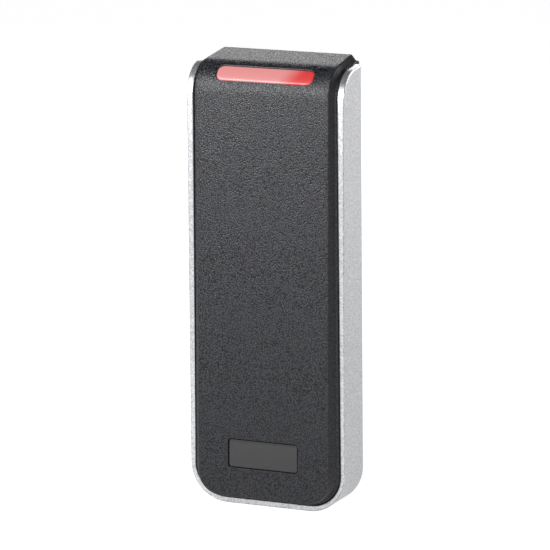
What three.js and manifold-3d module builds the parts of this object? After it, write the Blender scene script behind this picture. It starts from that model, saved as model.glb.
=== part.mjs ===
// Narrow wall-mounted card reader, built as separate pieces on a wall plate.
// Millimetres, +Z up. The wall is the plane y = 0 and the reader's face looks along -Y.
// The origin is on the wall, at the middle of the mounting plate's cross web.
import * as THREE from 'three';
import { ConvexGeometry } from 'three/addons/geometries/ConvexGeometry.js';
import { mergeVertices } from 'three/addons/utils/BufferGeometryUtils.js';
import Module from 'manifold-3d';

const wasm = await Module();
wasm.setup();

// Overall size
const bodyWidth = 45;
const bodyHeight = 121.5;
const bodyDepth = 19.5;

// Clearances that several pieces share
const wallGap = 0.6;
const fitGap = 0.3;
const closeGap = 0.2;
const bondGap = 0.3;
const overrun = 1;

// Rim of the silver frame beside the front cover, and the cover's bevel inside the rim
const frameRimTop = 1.7;
const frameRimBottom = 1.15;
const bevelWidth = 1.55;
const topTaperAtWall = 0.5;

// Outer form of the front cover: the textured face and the foot of its bevel
const faceLean = 1.64;
const faceBottomRise = 2.7;
const faceCornerRadius = 6.5;
const topFall = 2.75;
const topCurveRadius = 8.45;
const coverBaseSetBack = 3.05;
const coverBaseLean = 0.6;
const coverBaseDrop = 1.6;
const coverBaseFall = 2.35;
const coverBottomRise = 1.75;
const coverCornerRadius = 8.6;
const coverCurveRadius = 7.9;
const rearEdgeChamfer = 0.4;

// Walls of the front cover
const faceWall = 2.2;
const topWall = 1.7;
const skirtWall = 1.8;
const ledgeWidth = 0.8;

// Silver frame round the sides and the bottom
const frameSetBack = 3.25;
const frameRearGapBottom = 3.5;
const frameRearGapTop = 4.3;
const frameTopDrop = 1.55;
const frameTopFall = 2.5;
const frameCornerGrowth = 1.9;
const frameCurveRadius = 8.2;
const frameLipRadius = 0.4;

// Light bar across the front curve
const lightBarSideMargin = 5.1;
const lightBarHeight = 4.75;
const lightBarCornerRadius = 1.7;
const lightBarAngle = THREE.MathUtils.degToRad(41.3);
const lensInset = 0.2;
const lensFlangeWidth = 0.9;
const lensThickness = 1.1;
const lightGuideSideGap = 1.85;
const lightGuideThickness = 2.2;

// Badge plate in its pocket near the foot of the face
const badgeWidth = 19.9;
const badgeHeight = 7.6;
const badgeThickness = 0.8;
const badgeRecess = 0.3;
const badgeCornerRadius = 0.7;
const badgeRise = 14.75;

// Wall plate: the slots' inset from its top puts them 83.3 apart, as the screws of a switch box are
const plateThickness = 2.5;
const plateSideGap = 0.5;
const plateTopGap = 3.45;
const plateBottomGap = 3.7;
const plateCornerRadius = 5;
const plateRailWidth = 6.2;
const webHeight = 14;
const plateWindowGap = 1.35;
const plateWindowRadius = 2;
const wallSlotInset = 13.95;
const wallSlotWidth = 3.9;
const wallSlotLength = 8;
const wallSlotLandWidth = 8.6;
const wallSlotLandLength = 12.6;
const wallSlotLandDepth = 1.2;

// Hooks of the plate and the bar that hangs in them
const hookWidth = 6;
const hookThickness = 1.2;
const hookLipDrop = 0.35;
const hookSideGap = 0.6;
const barRadius = 0.8;
const barRearGap = 0.4;
const barSeatGap = 0.25;
const hookPocketWall = 0.9;

// Lock tab, its insert and the locking screw
const tabWidth = 11;
const tabThickness = 2.6;
const tabReach = 9;
const tabRise = 10.75;
const tabTipWall = 0.4;
const tabSideGap = 0.8;
const tabEndGap = 0.45;
const tabLiftGap = 1.8;
const tabUnderGap = 2.4;
const tabPocketWall = 1.1;
const insertOuterRadius = 2.4;
const insertBoreRadius = 1.6;
const lockShaftRadius = 1.35;
const lockHeadRadius = 2.7;
const lockHeadHeight = 2;
const lockHeadSocketWidth = 2.5;
const lockHeadSocketDepth = 1.2;
const lockHeadInset = 0.15;
const lockBoreGap = 0.4;
const lockTravel = 3.4;
const lockTipGap = 0.3;

// Rear cover, its gasket and its screws
const plateToCoverGap = 0.7;
const rearCoverThickness = 1.6;
const gasketThickness = 0.4;
const caseScrewSideInset = 3.3;
const caseScrewEndInset = 13.75;
const caseBossRadius = 2.5;
const casePadRadius = 2.8;
const casePadHeight = 1.2;
const caseHeadRadius = 2;
const caseHeadHeight = 1.2;
const caseHeadSink = 0.1;
const caseShaftRadius = 0.95;
const caseShaftLength = 8;

// Circuit board
const antennaSpace = 1.76;
const boardThickness = 1.6;
const boardSideGap = 1.3;
const boardTopInset = 10.75;
const boardNeckGap = 0.5;
const boardShoulderGap = 0.9;
const boardScrewSideInset = 3;
const boardScrewEndInset = 4.1;
const boardPostRadius = 2.2;
const boardHeadRadius = 1.8;
const boardHeadHeight = 1.2;
const boardShaftRadius = 0.8;
const boardShaftLength = 4;
const driveSlotWidth = 0.5;
const driveSlotDepth = 0.5;

// Antennas on the board's front and lights on its top edge
const antennaSideGap = 1.1;
const antennaPostGap = 3.3;
const antennaTurns = 3;
const traceWidth = 0.8;
const tracePitch = 1.4;
const traceThickness = 0.15;
const ferriteSideGap = 1.3;
const ferriteEndGap = 3.8;
const ferriteThickness = 0.5;
const coilEdgeGap = 0.2;
const coilBand = 2.4;
const coilThickness = 1.1;
const coilCornerRadius = 3.2;
const ledCount = 6;
const ledSideGap = 0.8;
const ledWidth = 1.6;
const ledThickness = 1.4;
const ledHeight = 1.2;

// Parts on the board's rear
const partGap = 2.3;
const chipRowZ = 4;
const chipGap = 3;
const chipThickness = 1;
const processorSize = 9;
const secureChipSize = 5;
const inductorSize = 5;
const inductorThickness = 3;
const capacitorCount = 3;
const capacitorGap = 0.6;
const capacitorRadius = 2;
const capacitorTopGap = 2.5;
const shieldWidth = 18;
const shieldHeight = 14;
const shieldThickness = 2.4;
const shieldEdge = 0.5;
const sounderRadius = 6;
const sounderHeight = 4;
const sounderPortRadius = 1;
const sounderPortDepth = 1.5;
const tamperSensorSize = 4;
const tamperSensorHeight = 2.4;
const tamperRise = 2;
const tamperWindowRadius = 2.4;

// Terminal headers and the plugs in them
const terminalWays = 5;
const terminalPitch = 3.5;
const terminalEndWall = 0.2;
const terminalAboveWeb = 10;
const plugHeight = 6.8;
const plugProud = 0.3;
const headerWall = 0.6;
const headerBase = 1.4;
const headerSideGap = 0.4;
const pinWidth = 1;
const pinTipGap = 1.4;
const pinHoleWidth = 1.8;
const wirePortWidth = 2.4;
const wirePortDepth = 2.2;
const clampScrewRadius = 1;
const clampScrewLength = 1.6;
const clampScrewSink = 0.2;

// Number of flat sides or steps on round shapes
const roundSides = 24;
const smallSides = 12;
const cornerSteps = 8;
const slabCornerSteps = 4;
const curveSteps = 12;
const lipSteps = 3;
const hexSides = 6;

// A slot's ends stay a hair short of full rounds, so that its outline has straight ends to join
const slotRoundShare = 0.999;

// Planes that the pieces share, measured from the wall
const top = bodyHeight / 2;
const bottom = -bodyHeight / 2;
const plateFront = -plateThickness;
const coverRear = plateFront - plateToCoverGap;
const coverFront = coverRear - rearCoverThickness;
const ledgePlane = coverFront - gasketThickness;
const boardFront = -(bodyDepth - faceLean - faceWall - antennaSpace);
const boardRear = boardFront + boardThickness;

// Widths of the front cover at its ends, and of its face
const coverWidthTop = bodyWidth - 2 * (frameRimTop + fitGap);
const coverWidthBottom = bodyWidth - 2 * (frameRimBottom + fitGap);
const faceWidth = coverWidthTop - 2 * bevelWidth;
const sides = [-1, 1];
const corners = [[-1, -1], [-1, 1], [1, -1], [1, 1]];

// Turns from a drawn outline to the model: across the body, and from the wall to the front
const acrossTurn = new THREE.Matrix4().makeBasis(
  new THREE.Vector3(0, 1, 0), new THREE.Vector3(0, 0, 1), new THREE.Vector3(1, 0, 0));
const frontTurn = new THREE.Matrix4().makeBasis(
  new THREE.Vector3(1, 0, 0), new THREE.Vector3(0, 0, 1), new THREE.Vector3(0, -1, 0));

// Solids are made from closed three.js geometries whose shared corners are merged
function solid(geometry) {
  const bare = geometry.index ? geometry.toNonIndexed() : geometry.clone();
  bare.deleteAttribute('normal');
  bare.deleteAttribute('uv');
  const merged = mergeVertices(bare);
  return new wasm.Manifold(new wasm.Mesh({
    numProp: 3,
    vertProperties: new Float32Array(merged.attributes.position.array),
    triVerts: new Uint32Array(merged.index.array),
  }));
}

function join(pieces) {
  return pieces.reduce((whole, piece) => whole.add(piece));
}

function cut(whole, ...tools) {
  return tools.reduce((rest, tool) => rest.subtract(tool), whole);
}

function box(lengthX, lengthY, lengthZ, x, y, z) {
  return solid(new THREE.BoxGeometry(lengthX, lengthY, lengthZ).translate(x, y, z));
}

// A box between two planes of y, for what lies on the board, the plate or the rear cover
function block(width, height, yRear, yFront, x, z) {
  return box(width, yRear - yFront, height, x, (yRear + yFront) / 2, z);
}

// A round bar between two planes of y
function peg(radius, yRear, yFront, x, z, count = roundSides) {
  const bar = new THREE.CylinderGeometry(radius, radius, yRear - yFront, count);
  return solid(bar.translate(x, (yRear + yFront) / 2, z));
}

// An upright round bar between two heights
function upright(radius, zLow, zHigh, x, y, count = roundSides) {
  const bar = new THREE.CylinderGeometry(radius, radius, zHigh - zLow, count);
  return solid(bar.rotateX(Math.PI / 2).translate(x, y, (zLow + zHigh) / 2));
}

function crossbar(radius, length, x, y, z) {
  const bar = new THREE.CylinderGeometry(radius, radius, length, roundSides);
  return solid(bar.rotateZ(Math.PI / 2).translate(x, y, z));
}

// An outline drawn in x and z, taken from a plane of y towards the front
function slab(shape, yRear, thickness) {
  const raised = new THREE.ExtrudeGeometry(shape, {
    depth: thickness, bevelEnabled: false, curveSegments: slabCornerSteps });
  return solid(raised.applyMatrix4(frontTurn).translate(0, yRear, 0));
}

// An outline drawn in y and z, taken across the body about a plane of x
function across(shape, width, x) {
  const raised = new THREE.ExtrudeGeometry(shape, {
    depth: width, bevelEnabled: false, curveSegments: slabCornerSteps });
  return solid(raised.translate(0, 0, -width / 2).applyMatrix4(acrossTurn).translate(x, 0, 0));
}

function roundedRectangle(left, right, low, high, radius) {
  const shape = new THREE.Shape();
  const quarter = Math.PI / 2;
  shape.absarc(right - radius, low + radius, radius, -quarter, 0);
  shape.absarc(right - radius, high - radius, radius, 0, quarter);
  shape.absarc(left + radius, high - radius, radius, quarter, Math.PI);
  shape.absarc(left + radius, low + radius, radius, Math.PI, Math.PI + quarter);
  shape.closePath();
  return shape;
}

function centredRectangle(width, height, x, z, radius) {
  return roundedRectangle(x - width / 2, x + width / 2, z - height / 2, z + height / 2, radius);
}

// A slot with round ends, as long as its longer side
function slotShape(width, height, x, z) {
  const roundness = Math.min(width, height) / 2;
  return centredRectangle(width, height, x, z, roundness * slotRoundShare);
}

// Side profile in y and z: a falling top line and a leaning front line, joined by an arc
function sideProfile({ topHeight, fall, depth, lean, radius }) {
  const topSlope = fall / bodyDepth;
  const frontSlope = lean / bodyHeight;
  const topLine = (y) => topHeight + topSlope * (y + wallGap);
  const frontLine = (z) => -depth + frontSlope * (z - bottom);
  const frontAtTop = frontLine(topHeight);
  const cornerZ = (topLine(frontAtTop) - topSlope * frontSlope * topHeight) / (1 - topSlope * frontSlope);
  const corner = new THREE.Vector2(frontLine(cornerZ), cornerZ);
  const forward = new THREE.Vector2(-1, -topSlope).normalize();
  const down = new THREE.Vector2(-frontSlope, -1).normalize();
  const turn = Math.acos(forward.dot(down));
  const run = radius * Math.tan(turn / 2);
  const arcStart = corner.clone().addScaledVector(forward, -run);
  const inward = new THREE.Vector2(-forward.y, forward.x);
  const centre = arcStart.clone().addScaledVector(inward, radius);
  const arc = [];
  for (let step = 0; step <= curveSteps; step += 1) {
    const point = arcStart.clone().rotateAround(centre, turn * step / curveSteps);
    arc.push(point);
  }
  return { topLine, frontLine, arc, centre, radius };
}

const faceProfile = {
  topHeight: top, fall: topFall, depth: bodyDepth, lean: faceLean, radius: topCurveRadius };
const coverBaseProfile = {
  topHeight: top - coverBaseDrop,
  fall: coverBaseFall,
  depth: bodyDepth - coverBaseSetBack,
  lean: coverBaseLean,
  radius: coverCurveRadius,
};
const frameProfile = {
  topHeight: top - frameTopDrop,
  fall: frameTopFall,
  depth: bodyDepth - frameSetBack,
  lean: 0,
  radius: frameCurveRadius,
};

// The same profile, moved in by one amount at the top and another at the front
function insetProfile(profile, insetTop, insetFront) {
  return {
    ...profile,
    topHeight: profile.topHeight - insetTop,
    depth: profile.depth - insetFront,
    radius: Math.max(profile.radius - insetFront, fitGap),
  };
}

// Corner points of an outline that has the profile's curve above and round corners below
function outlinePoints(profile, { widthTop, widthBottom, widthAtWall, low, cornerRadius, flatY }) {
  const { topLine, frontLine, arc } = sideProfile(profile);
  const halfWidth = (z) => (widthBottom + (widthTop - widthBottom) * (z - bottom) / bodyHeight) / 2;
  const points = [];
  for (const side of sides) {
    for (const { x: y, y: z } of arc) {
      points.push(new THREE.Vector3(side * halfWidth(z), flatY ?? y, z));
    }
    for (let step = 0; step <= cornerSteps; step += 1) {
      const angle = step / cornerSteps * Math.PI / 2;
      const z = low + cornerRadius * (1 - Math.sin(angle));
      const x = halfWidth(low) - cornerRadius * (1 - Math.cos(angle));
      points.push(new THREE.Vector3(side * x, flatY ?? frontLine(z), z));
    }
    if (widthAtWall !== undefined) {
      const rear = -wallGap - rearEdgeChamfer;
      points.push(new THREE.Vector3(side * widthAtWall / 2, rear, topLine(rear)));
    }
  }
  return points;
}

const coverOutline = {
  widthTop: coverWidthTop,
  widthBottom: coverWidthBottom,
  low: bottom + coverBottomRise,
  cornerRadius: coverCornerRadius,
};
const faceOutline = {
  widthTop: faceWidth,
  widthBottom: faceWidth,
  widthAtWall: faceWidth - 2 * topTaperAtWall,
  low: bottom + faceBottomRise,
  cornerRadius: faceCornerRadius,
};

// Corner points at one plane of y, square at the top and round at the bottom
function sectionPoints({ widthTop, widthBottom, low, cornerRadius }, high, y) {
  const halfWidth = (z) => (widthBottom + (widthTop - widthBottom) * (z - bottom) / bodyHeight) / 2;
  const points = [];
  for (const side of sides) {
    points.push(new THREE.Vector3(side * halfWidth(high), y, high));
    for (let step = 0; step <= cornerSteps; step += 1) {
      const angle = step / cornerSteps * Math.PI / 2;
      const z = low + cornerRadius * (1 - Math.sin(angle));
      const x = halfWidth(low) - cornerRadius * (1 - Math.cos(angle));
      points.push(new THREE.Vector3(side * x, y, z));
    }
  }
  return points;
}

// An outline drawn in by one amount all round
function insetOutline(outline, inset) {
  return {
    ...outline,
    widthTop: outline.widthTop - 2 * inset,
    widthBottom: outline.widthBottom - 2 * inset,
    low: outline.low + inset,
    cornerRadius: Math.max(outline.cornerRadius - inset, fitGap),
  };
}

function hull(points) {
  return solid(new ConvexGeometry(points));
}

// A wedge that fills the side profile across the middle of the body
function profileWedge(profile, width) {
  const { topLine, frontLine, arc } = sideProfile(profile);
  const shape = new THREE.Shape();
  shape.moveTo(0, topLine(0));
  for (const point of arc) {
    shape.lineTo(point.x, point.y);
  }
  shape.lineTo(frontLine(bottom), bottom);
  shape.lineTo(0, bottom);
  return across(shape, width, 0);
}

const openingTopLine = sideProfile(insetProfile(faceProfile, topWall, faceWall)).topLine;
const cavityProfile = insetProfile(faceProfile, topWall + ledgeWidth, faceWall);
const cavityTopLine = sideProfile(cavityProfile).topLine;
const cavityOutline = insetOutline(coverOutline, skirtWall + ledgeWidth);
const rearOpening = insetOutline(coverOutline, skirtWall);

// Places on the wall plate
const plateWidth = coverWidthTop - 2 * (skirtWall + plateSideGap);
const plateTop = top - topWall - plateTopGap;
const plateBottom = rearOpening.low + plateBottomGap;
const plateWindowWidth = plateWidth - 2 * plateRailWidth;
const wallSlotZ = plateTop - wallSlotInset;
const windowLow = webHeight / 2;
const windowHigh = wallSlotZ - wallSlotLandLength / 2 - plateWindowGap;

// Bar, hooks, tab and locking screw: places that the plate and the reader share
const hookX = plateWindowWidth / 2;
const barY = plateFront - barRearGap - barRadius;
const barZ = openingTopLine(barY) - fitGap - barRadius;
const hookSeat = barZ - barRadius - barSeatGap;
const hookInnerLip = barY - barRadius - barSeatGap - closeGap;
const hookOuterLip = hookInnerLip - hookThickness;
const hookLipTop = barZ - hookLipDrop;
const hookPocketFront = hookOuterLip - fitGap - hookPocketWall;
const tabLow = bottom + tabRise;
const tabHigh = tabLow + tabThickness;
const tabFront = plateFront - tabReach;
const tabPocketHigh = tabHigh + tabLiftGap;
const lockY = tabFront + tabTipWall + closeGap + insertOuterRadius;
const lockTip = tabLow - lockTipGap;
const lockHeadLow = bottom + lockHeadInset;
const lockHeadTop = lockHeadLow + lockHeadHeight;
const lockShoulder = lockHeadTop + lockTravel + closeGap;
const lockBoreRadius = lockHeadRadius + lockBoreGap;

// Terminals: width of a plug, and the places of its ways from side to side
const terminalWidth = terminalWays * terminalPitch + 2 * terminalEndWall;
const terminalZ = webHeight / 2 + terminalAboveWeb;
const headerReach = terminalZ + plugHeight / 2 + closeGap + headerWall;
const wayPlaces = Array.from({ length: terminalWays },
  (unused, index) => (index - (terminalWays - 1) / 2) * terminalPitch);

// Screws of the case and of the board, the board's outline, and what is laid out on it
const caseScrewX = cavityOutline.widthTop / 2 - caseScrewSideInset;
const caseScrewZ = top - caseScrewEndInset;
const boardWidth = cavityOutline.widthTop - 2 * boardSideGap;
const boardNeckWidth = 2 * (caseScrewX - caseBossRadius - boardNeckGap);
const boardTop = top - boardTopInset;
const boardShoulder = caseScrewZ - caseBossRadius - boardShoulderGap;
const boardScrewX = boardWidth / 2 - boardScrewSideInset;
const boardScrewZ = boardShoulder - boardScrewEndInset;
const antennaWidth = boardWidth - 2 * antennaSideGap;
const antennaHeight = 2 * (boardScrewZ - boardPostRadius - antennaPostGap);
const ferriteWidth = antennaWidth - 2 * (antennaTurns * tracePitch + ferriteSideGap);
const ferriteHeight = antennaHeight - 2 * (antennaTurns * tracePitch + ferriteEndGap);
const sounderZ = (tabPocketHigh + tabPocketWall - headerReach) / 2;
const secureChipX = -(processorSize + secureChipSize) / 2 - chipGap;
const tamperX = sounderRadius + chipGap + tamperSensorSize / 2;
const tamperZ = sounderZ + tamperRise;

function material(colour, roughness, metalness = 0, opacity = 1) {
  return new THREE.MeshStandardMaterial({
    color: colour, roughness, metalness, opacity, transparent: opacity < 1 });
}
const finishes = {
  grainedBlack: material(0x3a3b3d, 0.62),
  mouldedBlack: material(0x1c1d1f, 0.55),
  satinSilver: material(0xc9cacc, 0.35, 0.6),
  redLens: material(0xe86a6a, 0.25, 0, 0.9),
  clearPlastic: material(0xe8ecee, 0.2, 0, 0.6),
  badgeGrey: material(0x3c3c3e, 0.18, 0.2),
  steel: material(0xb4b6ba, 0.35, 1),
  brass: material(0xb8964a, 0.35, 1),
  copper: material(0xb4673c, 0.4, 1),
  ferrite: material(0x35332f, 0.8),
  boardGreen: material(0x1f5a34, 0.5),
  chipBlack: material(0x17181a, 0.5),
  terminalGreen: material(0x2f8a4a, 0.5),
  gasketRubber: material(0x2a2a2a, 0.85),
};

function node(name, form, finish) {
  const shared = form.getMesh();
  const geometry = new THREE.BufferGeometry();
  geometry.setAttribute('position', new THREE.BufferAttribute(new Float32Array(shared.vertProperties), 3));
  geometry.setIndex(new THREE.BufferAttribute(new Uint32Array(shared.triVerts), 1));
  geometry.computeVertexNormals();
  const mesh = new THREE.Mesh(geometry, finish);
  mesh.name = name;
  return mesh;
}

// Wall plate

function plateHook(side) {
  const shape = new THREE.Shape();
  shape.moveTo(0, plateTop - overrun);
  shape.lineTo(0, hookLipTop);
  shape.lineTo(plateFront, hookLipTop);
  shape.lineTo(plateFront, hookSeat);
  shape.lineTo(hookInnerLip, hookSeat);
  shape.lineTo(hookInnerLip, hookLipTop);
  shape.lineTo(hookOuterLip, hookLipTop);
  shape.lineTo(hookOuterLip, hookSeat - hookThickness);
  shape.lineTo(plateFront, hookSeat - hookThickness);
  shape.lineTo(plateFront, plateTop - overrun);
  return across(shape, hookWidth, side * hookX);
}

function mountingPlate() {
  const outline = roundedRectangle(
    -plateWidth / 2, plateWidth / 2, plateBottom, plateTop, plateCornerRadius);
  const through = plateThickness + 2 * overrun;
  const openings = [];
  for (const side of sides) {
    const window = centredRectangle(plateWindowWidth, windowHigh - windowLow,
      0, side * (windowLow + windowHigh) / 2, plateWindowRadius);
    const slot = slotShape(wallSlotWidth, wallSlotLength, 0, side * wallSlotZ);
    const land = slotShape(wallSlotLandWidth, wallSlotLandLength, 0, side * wallSlotZ);
    openings.push(slab(window, overrun, through));
    openings.push(slab(slot, overrun, through));
    openings.push(slab(land, plateFront + wallSlotLandDepth, wallSlotLandDepth + overrun));
  }
  const flat = cut(slab(outline, 0, plateThickness), ...openings);
  const tab = block(tabWidth, tabThickness, 0, tabFront, 0, (tabLow + tabHigh) / 2);
  const insertHole = upright(insertOuterRadius + closeGap, tabLow - overrun, tabHigh + overrun, 0, lockY);
  return cut(join([flat, ...sides.map(plateHook), tab]), insertHole);
}

function lockInsert() {
  const ring = upright(insertOuterRadius, tabLow, tabHigh, 0, lockY);
  return cut(ring, upright(insertBoreRadius, tabLow - overrun, tabHigh + overrun, 0, lockY));
}

// Front cover

const curveCentre = sideProfile(faceProfile).centre;
const lightBarLength = faceWidth - 2 * lightBarSideMargin;

// A prism with rounded corners that stands square on the front curve at the light bar
function barPrism(grow) {
  const shape = centredRectangle(
    lightBarLength + 2 * grow, lightBarHeight + 2 * grow, 0, 0, lightBarCornerRadius + grow);
  const raised = new THREE.ExtrudeGeometry(shape, {
    depth: topCurveRadius + overrun, bevelEnabled: false, curveSegments: cornerSteps });
  raised.applyMatrix4(frontTurn);
  raised.rotateX(-lightBarAngle);
  return solid(raised.translate(0, curveCentre.x, curveCentre.y));
}

// The badge and its pocket lie in the plane of the leaning face
const leanAngle = Math.atan(faceLean / bodyHeight);
const badgeZ = bottom + badgeRise;
const badgeY = sideProfile(faceProfile).frontLine(badgeZ);

function badgeSlab(grow, depthBehind, depthAhead) {
  const shape = centredRectangle(
    badgeWidth + 2 * grow, badgeHeight + 2 * grow, 0, 0, badgeCornerRadius + grow);
  const raised = new THREE.ExtrudeGeometry(shape, {
    depth: depthBehind - depthAhead, bevelEnabled: false, curveSegments: cornerSteps });
  raised.applyMatrix4(frontTurn);
  raised.translate(0, depthBehind, 0);
  raised.rotateX(-leanAngle);
  return solid(raised.translate(0, badgeY, badgeZ));
}

function frontCover() {
  const rearHigh = top - rearEdgeChamfer - coverBaseDrop;
  const outer = hull([
    ...outlinePoints(faceProfile, faceOutline),
    ...outlinePoints(coverBaseProfile, coverOutline),
    ...sectionPoints(coverOutline, top - coverBaseDrop, -wallGap - rearEdgeChamfer),
    ...sectionPoints(coverOutline, rearHigh, -wallGap),
    ...sides.map((side) => new THREE.Vector3(
      side * (faceOutline.widthAtWall / 2 - rearEdgeChamfer), -wallGap, top - rearEdgeChamfer)),
  ]);
  const cavity = hull([
    ...outlinePoints(cavityProfile, cavityOutline),
    ...sectionPoints(cavityOutline, cavityTopLine(overrun), overrun),
  ]);
  const opening = hull([
    ...sectionPoints(rearOpening, openingTopLine(ledgePlane), ledgePlane),
    ...sectionPoints(rearOpening, openingTopLine(overrun), overrun),
  ]);
  const hollow = cut(outer, cavity, opening);
  const bosses = [];
  const pilots = [];
  for (const [sideX, sideZ] of corners) {
    const [caseX, caseZ] = [sideX * caseScrewX, sideZ * caseScrewZ];
    const caseBossTop = coverFront - casePadHeight - fitGap;
    const [postX, postZ] = [sideX * boardScrewX, sideZ * boardScrewZ];
    bosses.push(peg(caseBossRadius, caseBossTop, -bodyDepth, caseX, caseZ));
    bosses.push(peg(boardPostRadius, boardFront, -bodyDepth, postX, postZ));
    pilots.push(peg(caseShaftRadius + fitGap, caseBossTop + overrun,
      coverRear - caseHeadSink - caseHeadHeight - caseShaftLength - fitGap, caseX, caseZ, smallSides));
    pilots.push(peg(boardShaftRadius + fitGap, boardFront + overrun,
      boardRear - boardShaftLength - fitGap, postX, postZ, smallSides));
  }
  const filled = join([hollow, join(bosses).intersect(outer)]);
  return cut(filled,
    ...pilots,
    barPrism(0),
    badgeSlab(closeGap, badgeRecess + badgeThickness + bondGap, -overrun),
    upright(lockBoreRadius, bottom - overrun, cavityOutline.low + overrun, 0, lockY));
}

// Silver frame

function sideFrame() {
  const outline = {
    widthTop: bodyWidth,
    widthBottom: bodyWidth,
    low: bottom,
    cornerRadius: coverCornerRadius + frameCornerGrowth,
  };
  const points = [];
  for (let step = 0; step <= lipSteps; step += 1) {
    const angle = step / lipSteps * Math.PI / 2;
    const fromSide = frameLipRadius * (1 - Math.cos(angle));
    const fromFront = frameLipRadius * (1 - Math.sin(angle));
    points.push(...outlinePoints(
      insetProfile(frameProfile, fromFront, fromFront), insetOutline(outline, fromSide)));
  }
  const rearLine = (z) => -frameRearGapBottom
    - (frameRearGapTop - frameRearGapBottom) * (z - bottom) / bodyHeight;
  const topEdge = sideProfile(frameProfile).topLine(-frameRearGapTop) - frameLipRadius;
  for (const point of sectionPoints(outline, topEdge, 0)) {
    points.push(point.setY(rearLine(point.z)));
  }
  for (const side of sides) {
    points.push(new THREE.Vector3(
      side * (bodyWidth / 2 - frameLipRadius), rearLine(topEdge), topEdge + frameLipRadius));
  }
  const inner = insetOutline(coverOutline, -fitGap);
  const hole = hull([
    ...sectionPoints(inner, top + overrun, -bodyDepth - overrun),
    ...sectionPoints(inner, top + overrun, overrun),
  ]);
  return cut(hull(points), hole, upright(lockBoreRadius, bottom - overrun, inner.low + overrun, 0, lockY));
}

// Light bar

function lightBarLens() {
  const ahead = insetProfile(faceProfile, lensInset, lensInset);
  const behind = insetProfile(cavityProfile, fitGap, fitGap);
  const inside = insetProfile(cavityProfile, fitGap + lensThickness, fitGap + lensThickness);
  const plug = barPrism(-closeGap).intersect(profileWedge(ahead, bodyWidth));
  const flange = barPrism(lensFlangeWidth).intersect(profileWedge(behind, bodyWidth));
  return cut(join([plug, flange]), profileWedge(inside, 2 * bodyWidth));
}

// Clear bar that follows the curve behind the lens, from the lights to just short of the hook pockets
function lightGuide() {
  const inside = (depth) => profileWedge(insetProfile(cavityProfile, depth, depth), 2 * bodyWidth);
  const behindLens = 2 * fitGap + lensThickness;
  const width = lightBarLength - 2 * lightGuideSideGap;
  const foot = boardTop + ledHeight + fitGap;
  const space = block(width, top - foot, hookPocketFront - fitGap, -bodyDepth, 0, (top + foot) / 2);
  return cut(space.intersect(inside(behindLens)), inside(behindLens + lightGuideThickness));
}

function badgePlate() {
  return badgeSlab(0, badgeRecess + badgeThickness, badgeRecess);
}

// Rear cover

function hookPocket(side) {
  const cavityWidth = hookWidth + 2 * hookSideGap;
  const low = hookSeat - hookThickness - overrun;
  const high = cavityTopLine(hookPocketFront) - fitGap;
  const x = side * hookX;
  const walls = block(cavityWidth + 2 * hookPocketWall, high - low + hookPocketWall,
    coverRear, hookPocketFront, x, (high + low - hookPocketWall) / 2);
  const roof = hookLipTop + fitGap;
  const cavity = block(cavityWidth, roof - low, overrun, hookOuterLip - fitGap, x, (roof + low) / 2);
  return { walls, cavity };
}

function tabPocket() {
  const low = tabLow - tabUnderGap;
  const deep = tabFront - tabEndGap;
  const width = tabWidth + 2 * tabSideGap;
  const wallLow = cavityOutline.low + fitGap;
  const wallHigh = tabPocketHigh + tabPocketWall;
  const walls = block(width + 2 * tabPocketWall, wallHigh - wallLow,
    coverRear, deep - tabPocketWall, 0, (wallHigh + wallLow) / 2);
  const cavity = block(width, tabPocketHigh - low, overrun, deep, 0, (tabPocketHigh + low) / 2);
  return { walls, cavity };
}

function rearCover() {
  const outline = insetOutline(rearOpening, fitGap);
  const high = openingTopLine(coverFront) - fitGap;
  const tab = tabPocket();
  const hooks = sides.map(hookPocket);
  const panel = hull([
    ...sectionPoints(outline, high, coverRear),
    ...sectionPoints(outline, high, coverFront),
  ]);
  const parts = [panel, tab.walls];
  const tools = [tab.cavity];
  for (const { walls, cavity } of hooks) {
    parts.push(walls);
    tools.push(cavity);
  }
  for (const [sideX, sideZ] of corners) {
    const [x, z] = [sideX * caseScrewX, sideZ * caseScrewZ];
    parts.push(peg(casePadRadius, coverRear, coverFront - casePadHeight, x, z));
    const headFloor = coverRear - caseHeadSink - caseHeadHeight - closeGap;
    const padEnd = coverFront - casePadHeight - overrun;
    tools.push(peg(caseHeadRadius + closeGap, overrun, headFloor, x, z));
    tools.push(peg(caseShaftRadius + fitGap, overrun, padEnd, x, z, smallSides));
  }
  for (const side of sides) {
    tools.push(block(terminalWidth + 2 * headerSideGap, plugHeight + 2 * headerSideGap,
      overrun, coverFront - overrun, 0, side * terminalZ));
  }
  tools.push(peg(tamperWindowRadius + closeGap, overrun, coverFront - overrun, tamperX, tamperZ));
  tools.push(upright(lockBoreRadius, bottom, lockShoulder, 0, lockY));
  tools.push(upright(lockShaftRadius + fitGap, bottom, tabLow, 0, lockY));
  const barLength = 2 * (hookX + hookSideGap + hookPocketWall) + hookWidth;
  const bar = crossbar(barRadius, barLength, 0, barY, barZ);
  return join([cut(join(parts), ...tools), bar]);
}

function coverGasket() {
  const slip = fitGap / 2;
  const outer = insetOutline(rearOpening, slip);
  const outerHigh = openingTopLine(ledgePlane) - slip;
  const innerHigh = cavityTopLine(ledgePlane);
  const ring = hull([
    ...sectionPoints(outer, outerHigh, ledgePlane),
    ...sectionPoints(outer, outerHigh, coverFront),
  ]);
  const hole = hull([
    ...sectionPoints(cavityOutline, innerHigh, ledgePlane - overrun),
    ...sectionPoints(cavityOutline, innerHigh, coverFront + overrun),
  ]);
  return cut(ring, hole);
}

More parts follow.
